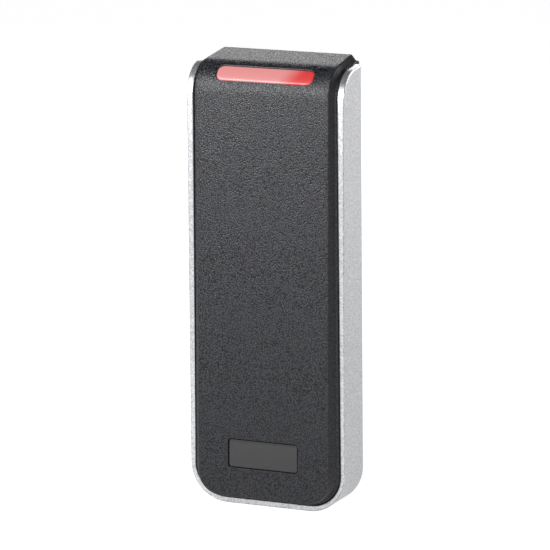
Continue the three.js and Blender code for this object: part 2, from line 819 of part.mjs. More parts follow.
// A screw whose head looks towards the wall, with one drive slot
function rearScrew(headRadius, headHeight, shaftRadius, shaftLength, headRear, x, z) {
  const headFront = headRear - headHeight;
  const head = peg(headRadius, headRear, headFront, x, z);
  const shaft = peg(shaftRadius, headFront + closeGap, headFront - shaftLength, x, z, smallSides);
  const slot = block(2 * headRadius + overrun, driveSlotWidth,
    headRear + overrun, headRear - driveSlotDepth, x, z);
  return cut(join([head, shaft]), slot);
}

function caseScrew([sideX, sideZ]) {
  return rearScrew(caseHeadRadius, caseHeadHeight, caseShaftRadius, caseShaftLength,
    coverRear - caseHeadSink, sideX * caseScrewX, sideZ * caseScrewZ);
}

function boardScrew([sideX, sideZ]) {
  return rearScrew(boardHeadRadius, boardHeadHeight, boardShaftRadius, boardShaftLength,
    boardRear + boardHeadHeight, sideX * boardScrewX, sideZ * boardScrewZ);
}

// Circuit board

// The board is wide below its neck, which reaches up between the case bosses
function mainBoard() {
  const body = block(boardWidth, 2 * boardShoulder, boardRear, boardFront, 0, 0);
  const neck = block(boardNeckWidth, boardTop, boardRear, boardFront, 0, boardTop / 2);
  const holes = corners.map(([sideX, sideZ]) => peg(boardShaftRadius + fitGap, boardRear + overrun,
    boardFront - overrun, sideX * boardScrewX, sideZ * boardScrewZ, smallSides));
  return cut(join([body, neck]), ...holes);
}

// The trace runs round in a square spiral: each side after the first turn lies one pitch further in
function spiralAntenna() {
  const outer = [];
  const inner = [];
  const quadrants = [[-1, 1], [1, 1], [1, -1], [-1, -1]];
  for (let step = 0; step < antennaTurns * quadrants.length; step += 1) {
    const round = Math.floor(step / quadrants.length);
    const [signX, signZ] = quadrants[step % quadrants.length];
    const late = step % quadrants.length === 0 && step > 0;
    const x = signX * (antennaWidth / 2 - tracePitch * (late ? round - 1 : round));
    const z = signZ * (antennaHeight / 2 - tracePitch * round);
    outer.push([x + signX * traceWidth / 2, z + signZ * traceWidth / 2]);
    inner.unshift([x - signX * traceWidth / 2, z - signZ * traceWidth / 2]);
  }
  const shape = new THREE.Shape([...outer, ...inner].map(([x, z]) => new THREE.Vector2(x, z)));
  return slab(shape, boardFront, traceThickness);
}

function ferriteSheet() {
  return block(ferriteWidth, ferriteHeight, boardFront, boardFront - ferriteThickness, 0, 0);
}

function antennaCoil() {
  const width = ferriteWidth - 2 * coilEdgeGap;
  const height = ferriteHeight - 2 * coilEdgeGap;
  const outer = centredRectangle(width, height, 0, 0, coilCornerRadius);
  outer.holes.push(centredRectangle(
    width - 2 * coilBand, height - 2 * coilBand, 0, 0, coilCornerRadius - coilBand));
  return slab(outer, boardFront - ferriteThickness, coilThickness);
}

function statusLight(index) {
  const spacing = (boardNeckWidth - 2 * ledSideGap - ledWidth) / (ledCount - 1);
  const x = (index - (ledCount - 1) / 2) * spacing;
  const y = (boardRear + boardFront) / 2;
  return box(ledWidth, ledThickness, ledHeight, x, y, boardTop + ledHeight / 2);
}

// A part that stands on the board's rear
function onBoard(width, height, thickness, x, z) {
  return block(width, height, boardRear + thickness, boardRear, x, z);
}

function shieldCan() {
  const z = headerReach + partGap + shieldHeight / 2;
  const inner = onBoard(shieldWidth - 2 * shieldEdge, shieldHeight - 2 * shieldEdge, shieldThickness, 0, z);
  return join([inner, onBoard(shieldWidth, shieldHeight, shieldThickness - shieldEdge, 0, z)]);
}

function chip(size, x) {
  return onBoard(size, size, chipThickness, x, chipRowZ);
}

function inductor() {
  const x = processorSize / 2 + chipGap + inductorSize / 2;
  return onBoard(inductorSize, inductorSize, inductorThickness, x, chipRowZ);
}

function capacitor(index) {
  const spacing = 2 * capacitorRadius + capacitorGap;
  const x = (index - (capacitorCount - 1) / 2) * spacing;
  const z = chipRowZ - processorSize / 2 - chipGap - capacitorRadius;
  return peg(capacitorRadius, coverFront - capacitorTopGap, boardRear, x, z, smallSides);
}

function sounder() {
  const rear = boardRear + sounderHeight;
  const can = peg(sounderRadius, rear, boardRear, 0, sounderZ);
  return cut(can, peg(sounderPortRadius, rear + overrun, rear - sounderPortDepth, 0, sounderZ, smallSides));
}

function tamperSensor() {
  return onBoard(tamperSensorSize, tamperSensorSize, tamperSensorHeight, tamperX, tamperZ);
}

function tamperWindow() {
  return peg(tamperWindowRadius, coverRear, coverFront, tamperX, tamperZ);
}

// Terminals
const headerFloor = boardRear + headerBase;
const plugFront = headerFloor + fitGap;
const plugRear = coverRear + plugProud;
const pinTip = plugRear - wirePortDepth - pinTipGap;

function terminalHeader(side) {
  const z = side * terminalZ;
  const width = terminalWidth + 2 * closeGap;
  const height = plugHeight + 2 * closeGap;
  const rear = coverFront - fitGap;
  const shroud = block(width + 2 * headerWall, height + 2 * headerWall, rear, boardRear, 0, z);
  const open = cut(shroud, block(width, height, rear + overrun, headerFloor, 0, z));
  const pins = wayPlaces.map((x) => block(pinWidth, pinWidth, pinTip, boardRear, x, z));
  return join([open, ...pins]);
}

function terminalPlug(side) {
  const z = side * terminalZ;
  const body = block(terminalWidth, plugHeight, plugRear, plugFront, 0, z);
  const tools = [];
  for (const x of wayPlaces) {
    const screwZ = [z, z + side * (plugHeight / 2 + overrun)].sort((low, high) => low - high);
    const screwY = plugRear - wirePortDepth / 2;
    tools.push(block(pinHoleWidth, pinHoleWidth, pinTip + fitGap, plugFront - overrun, x, z));
    tools.push(block(wirePortWidth, wirePortWidth, plugRear + overrun, plugRear - wirePortDepth, x, z));
    tools.push(upright(clampScrewRadius + closeGap / 2, ...screwZ, x, screwY, smallSides));
  }
  return cut(body, ...tools);
}

function clampScrew(side, x) {
  const high = terminalZ + plugHeight / 2 - clampScrewSink;
  const low = high - clampScrewLength;
  const y = plugRear - wirePortDepth / 2;
  const [zLow, zHigh] = side > 0 ? [low, high] : [-high, -low];
  const shank = upright(clampScrewRadius - closeGap / 2, zLow, zHigh, x, y, smallSides);
  const slot = box(clampScrewRadius * 2, driveSlotWidth, 2 * driveSlotDepth, x, y, side * high);
  return cut(shank, slot);
}

function lockingScrew() {
  const head = upright(lockHeadRadius, lockHeadLow, lockHeadTop, 0, lockY);
  const shaft = upright(lockShaftRadius, lockHeadTop - closeGap, lockTip, 0, lockY, smallSides);
  const hexRadius = lockHeadSocketWidth / Math.sqrt(3);
  const socketHigh = lockHeadLow + lockHeadSocketDepth;
  const socket = upright(hexRadius, lockHeadLow - overrun, socketHigh, 0, lockY, hexSides);
  return cut(join([head, shaft]), socket);
}

// The plate and its insert stay on the wall; the rest hangs on the hooks
const plate = new THREE.Group();
plate.add(
  node('mounting_plate', mountingPlate(), finishes.mouldedBlack),
  node('lock_insert', lockInsert(), finishes.brass),
);

const reader = new THREE.Group();
reader.add(
  node('front_cover', frontCover(), finishes.grainedBlack),
  node('side_frame', sideFrame(), finishes.satinSilver),
  node('light_bar_lens', lightBarLens(), finishes.redLens),
  node('light_guide', lightGuide(), finishes.clearPlastic),
  node('badge_plate', badgePlate(), finishes.badgeGrey),
  node('rear_cover', rearCover(), finishes.mouldedBlack),
  node('cover_gasket', coverGasket(), finishes.gasketRubber),
  node('tamper_window', tamperWindow(), finishes.clearPlastic),
  node('main_board', mainBoard(), finishes.boardGreen),
  node('hf_antenna', spiralAntenna(), finishes.copper),
  node('ferrite_sheet', ferriteSheet(), finishes.ferrite),
  node('lf_antenna_coil', antennaCoil(), finishes.copper),
  node('shield_can', shieldCan(), finishes.steel),
  node('processor_chip', chip(processorSize, 0), finishes.chipBlack),
  node('secure_chip', chip(secureChipSize, secureChipX), finishes.chipBlack),
  node('power_inductor', inductor(), finishes.ferrite),
  node('sounder', sounder(), finishes.chipBlack),
  node('tamper_sensor', tamperSensor(), finishes.chipBlack),
);

corners.forEach((place, index) => {
  reader.add(
    node(`case_screw_${index + 1}`, caseScrew(place), finishes.steel),
    node(`board_screw_${index + 1}`, boardScrew(place), finishes.steel),
  );
});
for (let index = 0; index < ledCount; index += 1) {
  reader.add(node(`status_led_${index + 1}`, statusLight(index), finishes.clearPlastic));
}
for (let index = 0; index < capacitorCount; index += 1) {
  reader.add(node(`capacitor_${index + 1}`, capacitor(index), finishes.steel));
}

const plugs = new THREE.Group();
for (const [side, place] of [[1, 'upper'], [-1, 'lower']]) {
  reader.add(node(`terminal_header_${place}`, terminalHeader(side), finishes.terminalGreen));
  plugs.add(node(`terminal_plug_${place}`, terminalPlug(side), finishes.terminalGreen));
  wayPlaces.forEach((x, index) => {
    plugs.add(node(`clamp_screw_${place}_${index + 1}`, clampScrew(side, x), finishes.steel));
  });
}

const model = new THREE.Group();
model.add(plate, reader, plugs, node('locking_screw', lockingScrew(), finishes.steel));

export default model;
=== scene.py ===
# Looks of the narrow wall-mounted card reader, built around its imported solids.
# The sizes in the dictionaries are millimetres; meshes are made in metres.
import math

import bmesh
import bpy
from mathutils import Matrix, Vector


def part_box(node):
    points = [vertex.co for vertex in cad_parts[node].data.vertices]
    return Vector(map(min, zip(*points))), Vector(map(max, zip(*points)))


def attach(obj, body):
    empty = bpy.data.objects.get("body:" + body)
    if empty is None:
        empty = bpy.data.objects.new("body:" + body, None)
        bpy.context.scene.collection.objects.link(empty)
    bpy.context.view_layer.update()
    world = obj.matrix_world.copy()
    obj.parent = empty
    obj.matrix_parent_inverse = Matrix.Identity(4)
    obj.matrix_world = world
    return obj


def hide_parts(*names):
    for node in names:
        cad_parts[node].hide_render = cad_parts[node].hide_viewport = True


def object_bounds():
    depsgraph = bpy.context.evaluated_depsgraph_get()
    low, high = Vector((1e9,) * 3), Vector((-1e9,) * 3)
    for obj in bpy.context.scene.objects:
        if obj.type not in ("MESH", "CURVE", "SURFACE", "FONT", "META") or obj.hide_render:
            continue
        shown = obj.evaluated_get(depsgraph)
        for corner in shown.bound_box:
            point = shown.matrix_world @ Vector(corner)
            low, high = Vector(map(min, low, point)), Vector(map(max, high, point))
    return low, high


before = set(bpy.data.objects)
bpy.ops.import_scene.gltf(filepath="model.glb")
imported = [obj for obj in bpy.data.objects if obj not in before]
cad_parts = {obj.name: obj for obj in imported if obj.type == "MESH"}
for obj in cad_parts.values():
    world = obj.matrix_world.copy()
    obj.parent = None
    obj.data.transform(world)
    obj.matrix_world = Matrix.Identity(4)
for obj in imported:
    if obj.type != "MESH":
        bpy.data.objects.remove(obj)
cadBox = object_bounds()

mm = 0.001
corners = ((-1, -1), (-1, 1), (1, -1), (1, 1))


# Node trees: one wrapped socket, on which arithmetic adds Math nodes
class Wire:
    def __init__(self, graph, socket):
        self.graph = graph
        self.socket = socket

    def out(self, name):
        return Wire(self.graph, findSocket(self.socket.node.outputs, name))

    def math(self, operation, *values):
        sockets = dict(enumerate(values))
        return self.graph.add("ShaderNodeMath", {"operation": operation}, sockets)

    def __add__(self, other):
        return self.math("ADD", self, other)

    def __radd__(self, other):
        return self.math("ADD", other, self)

    def __sub__(self, other):
        return self.math("SUBTRACT", self, other)

    def __rsub__(self, other):
        return self.math("SUBTRACT", other, self)

    def __mul__(self, other):
        return self.math("MULTIPLY", self, other)

    def __rmul__(self, other):
        return self.math("MULTIPLY", other, self)

    def __truediv__(self, other):
        return self.math("DIVIDE", self, other)

    # 0 below low, 1 above high and smooth between
    def smooth(self, low, high):
        return self.graph.add(
            "ShaderNodeMapRange",
            {"interpolation_type": "SMOOTHSTEP"},
            {"Value": self, "From Min": low, "From Max": high},
        )


def findSocket(sockets, key):
    if isinstance(key, int):
        return sockets[key]
    for socket in sockets:
        if socket.identifier == key:
            return socket
    return sockets[key]


class Graph:
    def __init__(self, tree):
        self.tree = tree
        tree.nodes.clear()

    # A node of one type: its settings first, then the values or links of its sockets
    def add(self, kind, settings=None, sockets=None, output=0):
        node = self.tree.nodes.new(kind)
        for name, value in (settings or {}).items():
            setattr(node, name, value)
        for key, value in (sockets or {}).items():
            socket = findSocket(node.inputs, key)
            if isinstance(value, Wire):
                self.tree.links.new(value.socket, socket)
            else:
                socket.default_value = value
        if not node.outputs:
            return node
        return Wire(self, findSocket(node.outputs, output))

    # Object coordinates in millimetres, so that patterns are written at their real scale
    def place(self):
        coordinates = self.add("ShaderNodeTexCoord", output="Object")
        sockets = {0: coordinates, "Scale": 1 / mm}
        return self.add("ShaderNodeVectorMath", {"operation": "SCALE"}, sockets)

    def axis(self, name):
        return self.add("ShaderNodeSeparateXYZ", sockets={0: self.place()}).out(name)

    # Noise whose lumps are about one size, in millimetres
    def noise(self, size, detail=2.0, roughness=0.5):
        return self.add("ShaderNodeTexNoise", sockets={
            "Vector": self.place(), "Scale": 1 / size, "Detail": detail, "Roughness": roughness})

    # Rounded cells about one size, in millimetres, high in their middles and moved off a grid
    def cells(self, size, smoothness=0.6, wander=0.7):
        wobble = self.add("ShaderNodeTexNoise", sockets={"Vector": self.place(), "Scale": 1 / size})
        moved = self.add(
            "ShaderNodeVectorMath",
            {"operation": "MULTIPLY_ADD"},
            {0: wobble.out("Color"), 1: (size * wander,) * 3, 2: self.place()},
        )
        settings = {"feature": "SMOOTH_F1"}
        sockets = {"Vector": moved, "Scale": 1 / size, "Smoothness": smoothness}
        return 1 - self.add("ShaderNodeTexVoronoi", settings, sockets)

    def mix(self, factor, first, second):
        return self.add(
            "ShaderNodeMix",
            {"data_type": "RGBA"},
            {"Factor_Float": factor, "A_Color": first, "B_Color": second},
            "Result_Color",
        )

    def bump(self, height, distance, strength=1.0):
        return self.add(
            "ShaderNodeBump",
            sockets={"Height": height, "Distance": distance * mm, "Strength": strength},
        )


# A colour from the 0 to 255 numbers that a screen shows
def screen(red, green, blue):
    def linear(value):
        share = value / 255
        return share / 12.92 if share <= 0.04045 else ((share + 0.055) / 1.055) ** 2.4

    return (linear(red), linear(green), linear(blue), 1.0)


# One Principled material: fixed values, and a function that adds the patterns and returns the
# sockets that they feed
def surface(name, values, build):
    material = bpy.data.materials.new(name)
    material.use_nodes = True
    graph = Graph(material.node_tree)
    shader = graph.add("ShaderNodeBsdfPrincipled", sockets={**values, **build(graph)})
    graph.add("ShaderNodeOutputMaterial", sockets={"Surface": shader})
    return material


# Finishes: colours are screen numbers, sizes and depths are millimetres

# Spark-eroded grain of the face: rounded crests with finer pits on them; the colour is painted
# paler where they stand up and darker in the pits, as painted highlight on the crests and painted
# shade in the pits
grain = {
    "cell": 0.37, "fine": 0.22, "fineShare": 0.6, "low": 0.55, "high": 1.1, "depth": 0.11,
    "dark": (3, 3, 5), "light": (51, 52, 57), "roughness": 0.33, "unevenness": 0.1,
}


def grainedBlack(graph):
    crests = graph.cells(grain["cell"])
    pits = graph.noise(grain["fine"], detail=3)
    height = crests + grain["fineShare"] * pits
    # Painted highlight on the crests and painted shade in the pits: the colour follows the height
    # of the relief
    paintedCrestLight = height.smooth(grain["low"], grain["high"])
    return {
        "Base Color": graph.mix(paintedCrestLight, screen(*grain["dark"]), screen(*grain["light"])),
        "Roughness": grain["roughness"] + grain["unevenness"] * pits,
        "Normal": graph.bump(height, grain["depth"]),
    }


# The lights behind the bar make it glow red; its pale colour on the left is a painted reflection of
# a bright light, and it turns deeper red behind a slanted edge
barGlowAndReflection = {
    "pale": (208, 143, 143), "deep": (199, 46, 46), "from": 4.6, "to": 11.6, "slant": 0.9,
    "middle": 57.2, "clear": (96, 36, 36), "frosted": (60, 16, 16), "frost": 2.2, "frostShare": 0.3,
    "roughness": 0.36, "unevenness": 0.08,
}


def litRedAndReflection(graph):
    # The emission is pale on the left as a painted reflection, and the red glow of the lights
    # beyond the slanted edge
    along = graph.axis("X") - barGlowAndReflection["slant"] * (graph.axis("Z") - barGlowAndReflection["middle"])
    deep = along.smooth(barGlowAndReflection["from"], barGlowAndReflection["to"])
    frost = graph.noise(barGlowAndReflection["frost"]).smooth(0.3, 0.7)
    whitened = barGlowAndReflection["frostShare"] * frost
    return {
        "Base Color": graph.mix(whitened, screen(*barGlowAndReflection["clear"]), screen(*barGlowAndReflection["frosted"])),
        "Emission Color": graph.mix(deep, screen(*barGlowAndReflection["pale"]), screen(*barGlowAndReflection["deep"])),
        "Roughness": barGlowAndReflection["roughness"] + barGlowAndReflection["unevenness"] * frost,
    }


moulding = {
    "dark": (30, 31, 33), "worn": (40, 41, 43), "spark": 0.35, "wear": 9, "depth": 0.03,
    "roughness": 0.48, "unevenness": 0.2,
}


def sparkTextured(graph):
    sparks = graph.noise(moulding["spark"], detail=4, roughness=0.65)
    wear = graph.noise(moulding["wear"]).smooth(0.4, 0.75)
    return {
        "Base Color": graph.mix(wear, screen(*moulding["dark"]), screen(*moulding["worn"])),
        "Roughness": moulding["roughness"] + moulding["unevenness"] * sparks,
        "Normal": graph.bump(sparks, moulding["depth"]),
    }


# Solder mask over a crossed weave, with a hint of the copper tracks below it
mask = {
    "plain": (24, 84, 48), "overTrack": (34, 104, 60), "shade": (10, 50, 26), "weaveScale": 1.6,
    "weaveShare": 0.06, "track": 2.6, "roughness": 0.34, "unevenness": 0.08,
}


def solderMask(graph):
    sockets = {"Vector": graph.place(), "Scale": mask["weaveScale"]}
    weave = graph.add("ShaderNodeTexChecker", sockets=sockets, output="Fac")
    tracks = graph.noise(mask["track"], detail=0).smooth(0.5, 0.53)
    colour = graph.mix(tracks, screen(*mask["plain"]), screen(*mask["overTrack"]))
    return {
        "Base Color": graph.mix(mask["weaveShare"] * weave, colour, screen(*mask["shade"])),
        "Roughness": mask["roughness"] + mask["unevenness"] * weave,
    }


# Grades of specks: detail, coarseness, the edges of their colours, how much they change the
# roughness, and the shader's fixed values
speckGrades = {
    "plastic": (3, 0.5, 0.3, 0.7, 0.12, {}),
    "metal": (5, 0.7, 0.3, 0.7, 0.2, {"Metallic": 1.0}),
    "bevel": (3, 0.5, 0.36, 0.64, 0.12, {"Specular IOR Level": 0.42}),
    "satin": (4, 0.7, 0.36, 0.64, 0.1, {"Metallic": 0.85}),
    "gloss": (3, 0.5, 0.3, 0.8, 0.1, {"Coat Weight": 0.6, "Coat Roughness": 0.06}),
    "clear": (3, 0.5, 0.3, 0.7, 0.12, {"Transmission Weight": 0.85, "IOR": 1.49}),
}
# Material, grade, dark and light specks, their size, the roughness and the depth of the relief
speckledFinishes = {
    "bevel": ("fine bevel black", "bevel", (6, 6, 8), (56, 57, 60), 0.36, 0.36, 0.06),
    "silver": ("satin silver", "satin", (184, 185, 188), (230, 231, 233), 0.4, 0.26, 0.012),
    "badge": ("gloss badge", "gloss", (24, 24, 26), (34, 34, 37), 0.9, 0.14, None),
    "steel": ("bright steel", "metal", (150, 152, 156), (186, 188, 192), 0.5, 0.22, 0.008),
    "brass": ("turned brass", "metal", (170, 134, 62), (204, 168, 92), 0.5, 0.2, 0.008),
    "copper": ("bare copper", "metal", (170, 92, 54), (198, 120, 78), 0.6, 0.26, 0.008),
    "tin": ("tinned pads", "metal", (176, 176, 172), (206, 206, 202), 0.3, 0.25, 0.008),
    "ferrite": ("ferrite", "plastic", (44, 42, 40), (60, 58, 54), 0.4, 0.7, 0.02),
    "chip": ("chip resin", "plastic", (24, 25, 27), (34, 35, 37), 0.25, 0.45, 0.01),
    "terminal": ("terminal green", "plastic", (38, 128, 68), (48, 144, 80), 0.6, 0.36, 0.01),
    "rubber": ("gasket rubber", "plastic", (34, 34, 34), (44, 44, 44), 0.5, 0.75, 0.02),
    "clear": ("clear light guide", "clear", (226, 232, 236), (240, 244, 246), 3.0, 0.06, 0.0),
}


# A finish of fine specks in two colours, which also vary its gloss and relief
def speckled(name, grade, dark, light, size, roughness, depth):
    detail, coarseness, low, high, unevenness, values = speckGrades[grade]

    def build(graph):
        specks = graph.noise(size, detail, coarseness)
        sockets = {
            "Base Color": graph.mix(specks.smooth(low, high), screen(*dark), screen(*light)),
            "Roughness": roughness + unevenness * specks,
        }
        if depth is not None:
            sockets["Normal"] = graph.bump(specks, depth)
        return sockets

    return surface(name, values, build)


finishes = {key: speckled(*sizes) for key, sizes in speckledFinishes.items()}
finishes.update({
    "face": surface("grained face black", {"Specular IOR Level": 0.34}, grainedBlack),
    "lens": surface("lit red lens", {"Emission Strength": 1.0}, litRedAndReflection),
    "moulded": surface("spark textured black", {}, sparkTextured),
    "board": surface("green board", {"Coat Weight": 0.3, "Coat Roughness": 0.2}, solderMask),
})
print("finishes made:", len(finishes))


# Meshes

def linked(name, data):
    piece = bpy.data.objects.new(name, data)
    bpy.context.scene.collection.objects.link(piece)
    return piece


def rawMesh(name, points, edges, faces):
    mesh = bpy.data.meshes.new(name)
    mesh.from_pydata([Vector(point) * mm for point in points], edges, faces)
    return mesh


def setFinish(mesh, materials, indices):
    mesh.materials.clear()
    for material in materials:
        mesh.materials.append(material)
    mesh.polygons.foreach_set("material_index", indices)


# The corners of a node's box at rest, in millimetres
def boxOf(node):
    return [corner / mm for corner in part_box(node)]


def centreOf(node):
    low, high = boxOf(node)
    return (low + high) / 2


# How meshes are welded, smoothed and rounded: distances, angles and the segments of an edge
meshing = {
    "weld": 0.0002, "copyWeld": 0.001, "flatBelow": 1, "smoothBelow": 32, "copySmoothBelow": 35,
    "plateSmoothBelow": 40, "roundAbove": 40, "segments": 2,
}


# Runs a change on the corners and faces of a mesh, or of another mesh that it then takes over
def rework(mesh, change, source=None):
    work = bmesh.new()
    work.from_mesh(source or mesh)
    change(work)
    work.to_mesh(mesh)
    work.free()


def faceOutwards(work):
    bmesh.ops.recalc_face_normals(work, faces=work.faces)
    if work.calc_volume(signed=True) < 0:
        bmesh.ops.reverse_faces(work, faces=work.faces)


def weld(work):
    bmesh.ops.remove_doubles(work, verts=work.verts, dist=meshing["weld"] * mm)
    faceOutwards(work)


# Faces with more than four corners become triangles, which cut cleanly
def splitWideFaces(work):
    wide = [face for face in work.faces if len(face.verts) > 4]
    bmesh.ops.triangulate(work, faces=wide)


def smoothBelow(mesh, smoothAngle):
    mesh.shade_smooth()
    mesh.set_sharp_from_angle(angle=math.radians(smoothAngle))


# Welds doubled corners, turns every face outwards and smooths below an angle
def closeUp(mesh, smoothAngle):
    rework(mesh, weld)
    smoothBelow(mesh, smoothAngle)


# Round bars from one plane of y to another, or upright ones, as one tool
def bars(places, radius, low, high, upright=False, sides=32):
    def stand(work):
        middle = (low + high) / 2
        turn = Matrix() if upright else Matrix.Rotation(math.pi / 2, 4, "X")
        for first, second in places:
            centre = (first, second, middle) if upright else (first, middle, second)
            bmesh.ops.create_cone(
                work, cap_ends=True, segments=sides, radius1=radius * mm, radius2=radius * mm,
                depth=(high - low) * mm, matrix=Matrix.Translation(Vector(centre) * mm) @ turn)
        faceOutwards(work)

    tool = linked("bars", bpy.data.meshes.new("bars"))
    rework(tool.data, stand)
    return tool


def bakeModifiers(piece):
    graph = bpy.context.evaluated_depsgraph_get()
    mesh = bpy.data.meshes.new_from_object(piece.evaluated_get(graph))
    piece.modifiers.clear()
    piece.data = mesh


def combine(piece, tool, operation, materialIndex=1):
    rework(piece.data, splitWideFaces)
    setFinish(tool.data, list(piece.data.materials), [materialIndex] * len(tool.data.polygons))
    modifier = piece.modifiers.new("combine", "BOOLEAN")
    modifier.operation = operation
    modifier.solver = "EXACT"
    modifier.object = tool
    bakeModifiers(piece)
    bpy.data.objects.remove(tool)


def roundEdges(piece, width):
    rounding = piece.modifiers.new("edges", "BEVEL")
    rounding.width = width * mm
    rounding.segments = meshing["segments"]
    rounding.angle_limit = math.radians(meshing["roundAbove"])
    bakeModifiers(piece)


def finishPiece(piece, body, slotName, *nodes):
    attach(piece, body)
    if nodes:
        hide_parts(*nodes)
    return piece


# Outer form, shared by the front cover, its lens and badge, and the silver frame

bodyLow, bodyHigh = (corner / mm for corner in cadBox)
body = {
    "width": bodyHigh.x - bodyLow.x,
    "top": boxOf("front_cover")[1].z,
    "bottom": bodyLow.z,
    "wallGap": -boxOf("front_cover")[1].y,
}
body["height"] = body["top"] - body["bottom"]
body["depth"] = 19.5

# Falling top line, leaning front line and the arc that joins them, as the solids have them: drop
# from the body's top, fall towards the front, set back from the front, lean and the arc's radius
profileSizes = {
    "face": (0, 2.75, 0, 1.64, 8.45),
    "base": (1.6, 2.35, 3.05, 0.6, 7.9),
    "cavity": (2.5, 2.75, 2.2, 1.64, 6.25),
    "opening": (1.7, 2.75, 2.2, 1.64, 6.25),
    "frame": (1.55, 2.5, 3.25, 0, 8.2),
}


# A height as a share of the body's own
def shareUp(z):
    return (z - body["bottom"]) / body["height"]


class Profile:
    def __init__(self, drop, fall, setBack, lean, radius):
        self.topSlope = fall / body["depth"]
        self.frontSlope = lean / body["height"]
        self.high = body["top"] - drop
        self.depth = body["depth"] - setBack
        self.radius = radius
        forward = Vector((-1, -self.topSlope)).normalized()
        down = Vector((-self.frontSlope, -1)).normalized()
        crossing = self.topSlope * self.frontSlope
        cornerZ = (self.topLine(self.frontLine(self.high)) - crossing * self.high) / (1 - crossing)
        corner = Vector((self.frontLine(cornerZ), cornerZ))
        turn = forward.angle(down)
        self.start = corner - forward * radius * math.tan(turn / 2)
        self.centre = self.start + Vector((-forward.y, forward.x)) * radius
        self.topRise = math.pi / 2 - math.atan(self.topSlope)
        self.frontRise = math.atan(self.frontSlope)
        self.arcLength = radius * (self.topRise - self.frontRise)

    def topLine(self, y):
        return self.high + self.topSlope * (y + body["wallGap"])

    def frontLine(self, z):
        return -self.depth + self.frontSlope * (z - body["bottom"])

    # The outward direction at a rise above the horizontal, and the arc's point there
    def outward(self, rise):
        return Vector((-math.cos(rise), math.sin(rise)))

    def onArc(self, rise):
        return self.centre + self.outward(rise) * self.radius

    # The point and outward direction at a length along the outline from the arc's start
    def along(self, length):
        if length < 0:
            out = self.outward(self.topRise)
            return self.start + Vector((-out.y, out.x)) * length, out
        if length < self.arcLength:
            rise = self.topRise - length / self.radius
            return self.onArc(rise), self.outward(rise)
        out = self.outward(self.frontRise)
        return self.onArc(self.frontRise) + Vector((-out.y, out.x)) * (length - self.arcLength), out


profiles = {name: Profile(*sizes) for name, sizes in profileSizes.items()}
faceProfile = profiles["face"]


# Patches of faces that are welded into one closed mesh
class Patches:
    def __init__(self):
        self.points = []
        self.faces = []
        self.indices = []

    def polygon(self, points, index=0):
        first = len(self.points)
        self.points.extend(points)
        self.faces.append(list(range(first, first + len(points))))
        self.indices.append(index)

    # Quads between neighbouring rows of points
    def strip(self, rows, index=0, closed=False):
        first = len(self.points)
        count = len(rows[0])
        for row in rows:
            self.points.extend(row)
        steps = count if closed else count - 1
        for below in range(len(rows) - 1):
            for step in range(steps):
                here = first + below * count + step
                beside = first + below * count + (step + 1) % count
                self.faces.append((here, beside, beside + count, here + count))
                self.indices.append(index)

    def build(self, name, materials, smoothAngle=meshing["smoothBelow"]):
        mesh = rawMesh(name, self.points, [], self.faces)
        setFinish(mesh, materials, self.indices)
        closeUp(mesh, smoothAngle)
        return linked(name, mesh)


def lerp(first, second, share):
    return first + (second - first) * share


# Points of a rounded corner from start to end, which bends at its control point
def bend(start, control, end, steps):
    points = []
    for step in range(steps + 1):
        share = step / steps
        points.append(lerp(lerp(start, control, share), lerp(control, end, share), share))
    return points


def mirrored(point):
    return Vector((-point.x, point.y, point.z))


# The same points on the other side, in the order that goes back
def otherSide(points):
    return [mirrored(point) for point in reversed(points)]


rowCounts = {"top": 10, "arc": 30, "side": 46, "corner": 14, "across": 28}

# Outlines in x and z: half widths at the top and bottom of the body and at the wall, the low edge
# and the radius of the low corners
outlineParts = ("halfTop", "halfBottom", "halfAtWall", "low", "corner")
outlineSizes = {
    "face": (18.95, 18.95, 18.45, -58.05, 6.5),
    "base": (20.5, 21.05, 20.5, -59.0, 8.6),
    "cavity": (17.9, 18.45, 17.9, -56.4, 6.0),
    "opening": (18.7, 19.25, 18.7, -57.2, 6.8),
    "frameOuter": (22.5, 22.5, 22.5, -60.75, 10.5),
    "frameInner": (20.65, 21.2, 20.65, -59.15, 8.75),
}
outlines = {name: dict(zip(outlineParts, sizes)) for name, sizes in outlineSizes.items()}


def halfWidth(outline, z):
    return lerp(outline["halfBottom"], outline["halfTop"], shareUp(z))


# Points down the right side of an outline that follows a profile: along the top, over the curve,
# down the front and round the corner, each with the outward direction of the surface there
def railDown(profile, outline, rearY, inset=0.0):
    low = outline["low"] + inset
    radius = outline["corner"] - inset
    arcEnd = profile.onArc(profile.frontRise)
    rail = []
    for row in range(rowCounts["top"]):
        share = row / rowCounts["top"]
        y = lerp(rearY, profile.start.x, share)
        half = lerp(outline["halfAtWall"], halfWidth(outline, profile.start.y), share)
        rail.append((Vector((half - inset, y, profile.topLine(y))), profile.topRise))
    for row in range(rowCounts["arc"]):
        rise = lerp(profile.topRise, profile.frontRise, row / rowCounts["arc"])
        point = profile.onArc(rise)
        rail.append((Vector((halfWidth(outline, point.y) - inset, point.x, point.y)), rise))
    for row in range(rowCounts["side"]):
        z = lerp(arcEnd.y, low + radius, row / rowCounts["side"])
        half = halfWidth(outline, z) - inset
        rail.append((Vector((half, profile.frontLine(z), z)), profile.frontRise))
    for row in range(rowCounts["corner"] + 1):
        angle = row / rowCounts["corner"] * math.pi / 2
        z = low + radius * (1 - math.sin(angle))
        x = halfWidth(outline, low) - inset - radius * (1 - math.cos(angle))
        rail.append((Vector((x, profile.frontLine(z), z)), profile.frontRise))
    return rail


def places(rail):
    return [point for point, rise in rail]


def acrossRow(point):
    count = rowCounts["across"]
    return [lerp(point, mirrored(point), step / count) for step in range(count + 1)]


# One side's points, the points across the bottom and the other side's points, as one row
def roundRow(points):
    return points + acrossRow(points[-1])[1:-1] + otherSide(points)


# Heights on a rear plane: even steps beside the top, then the heights of the points in front
def rearHeights(high, points):
    count = rowCounts["top"]
    beside = [lerp(high, points[count].z, row / count) for row in range(count)]
    return beside + [point.z for point in points[count:]]


# Front cover

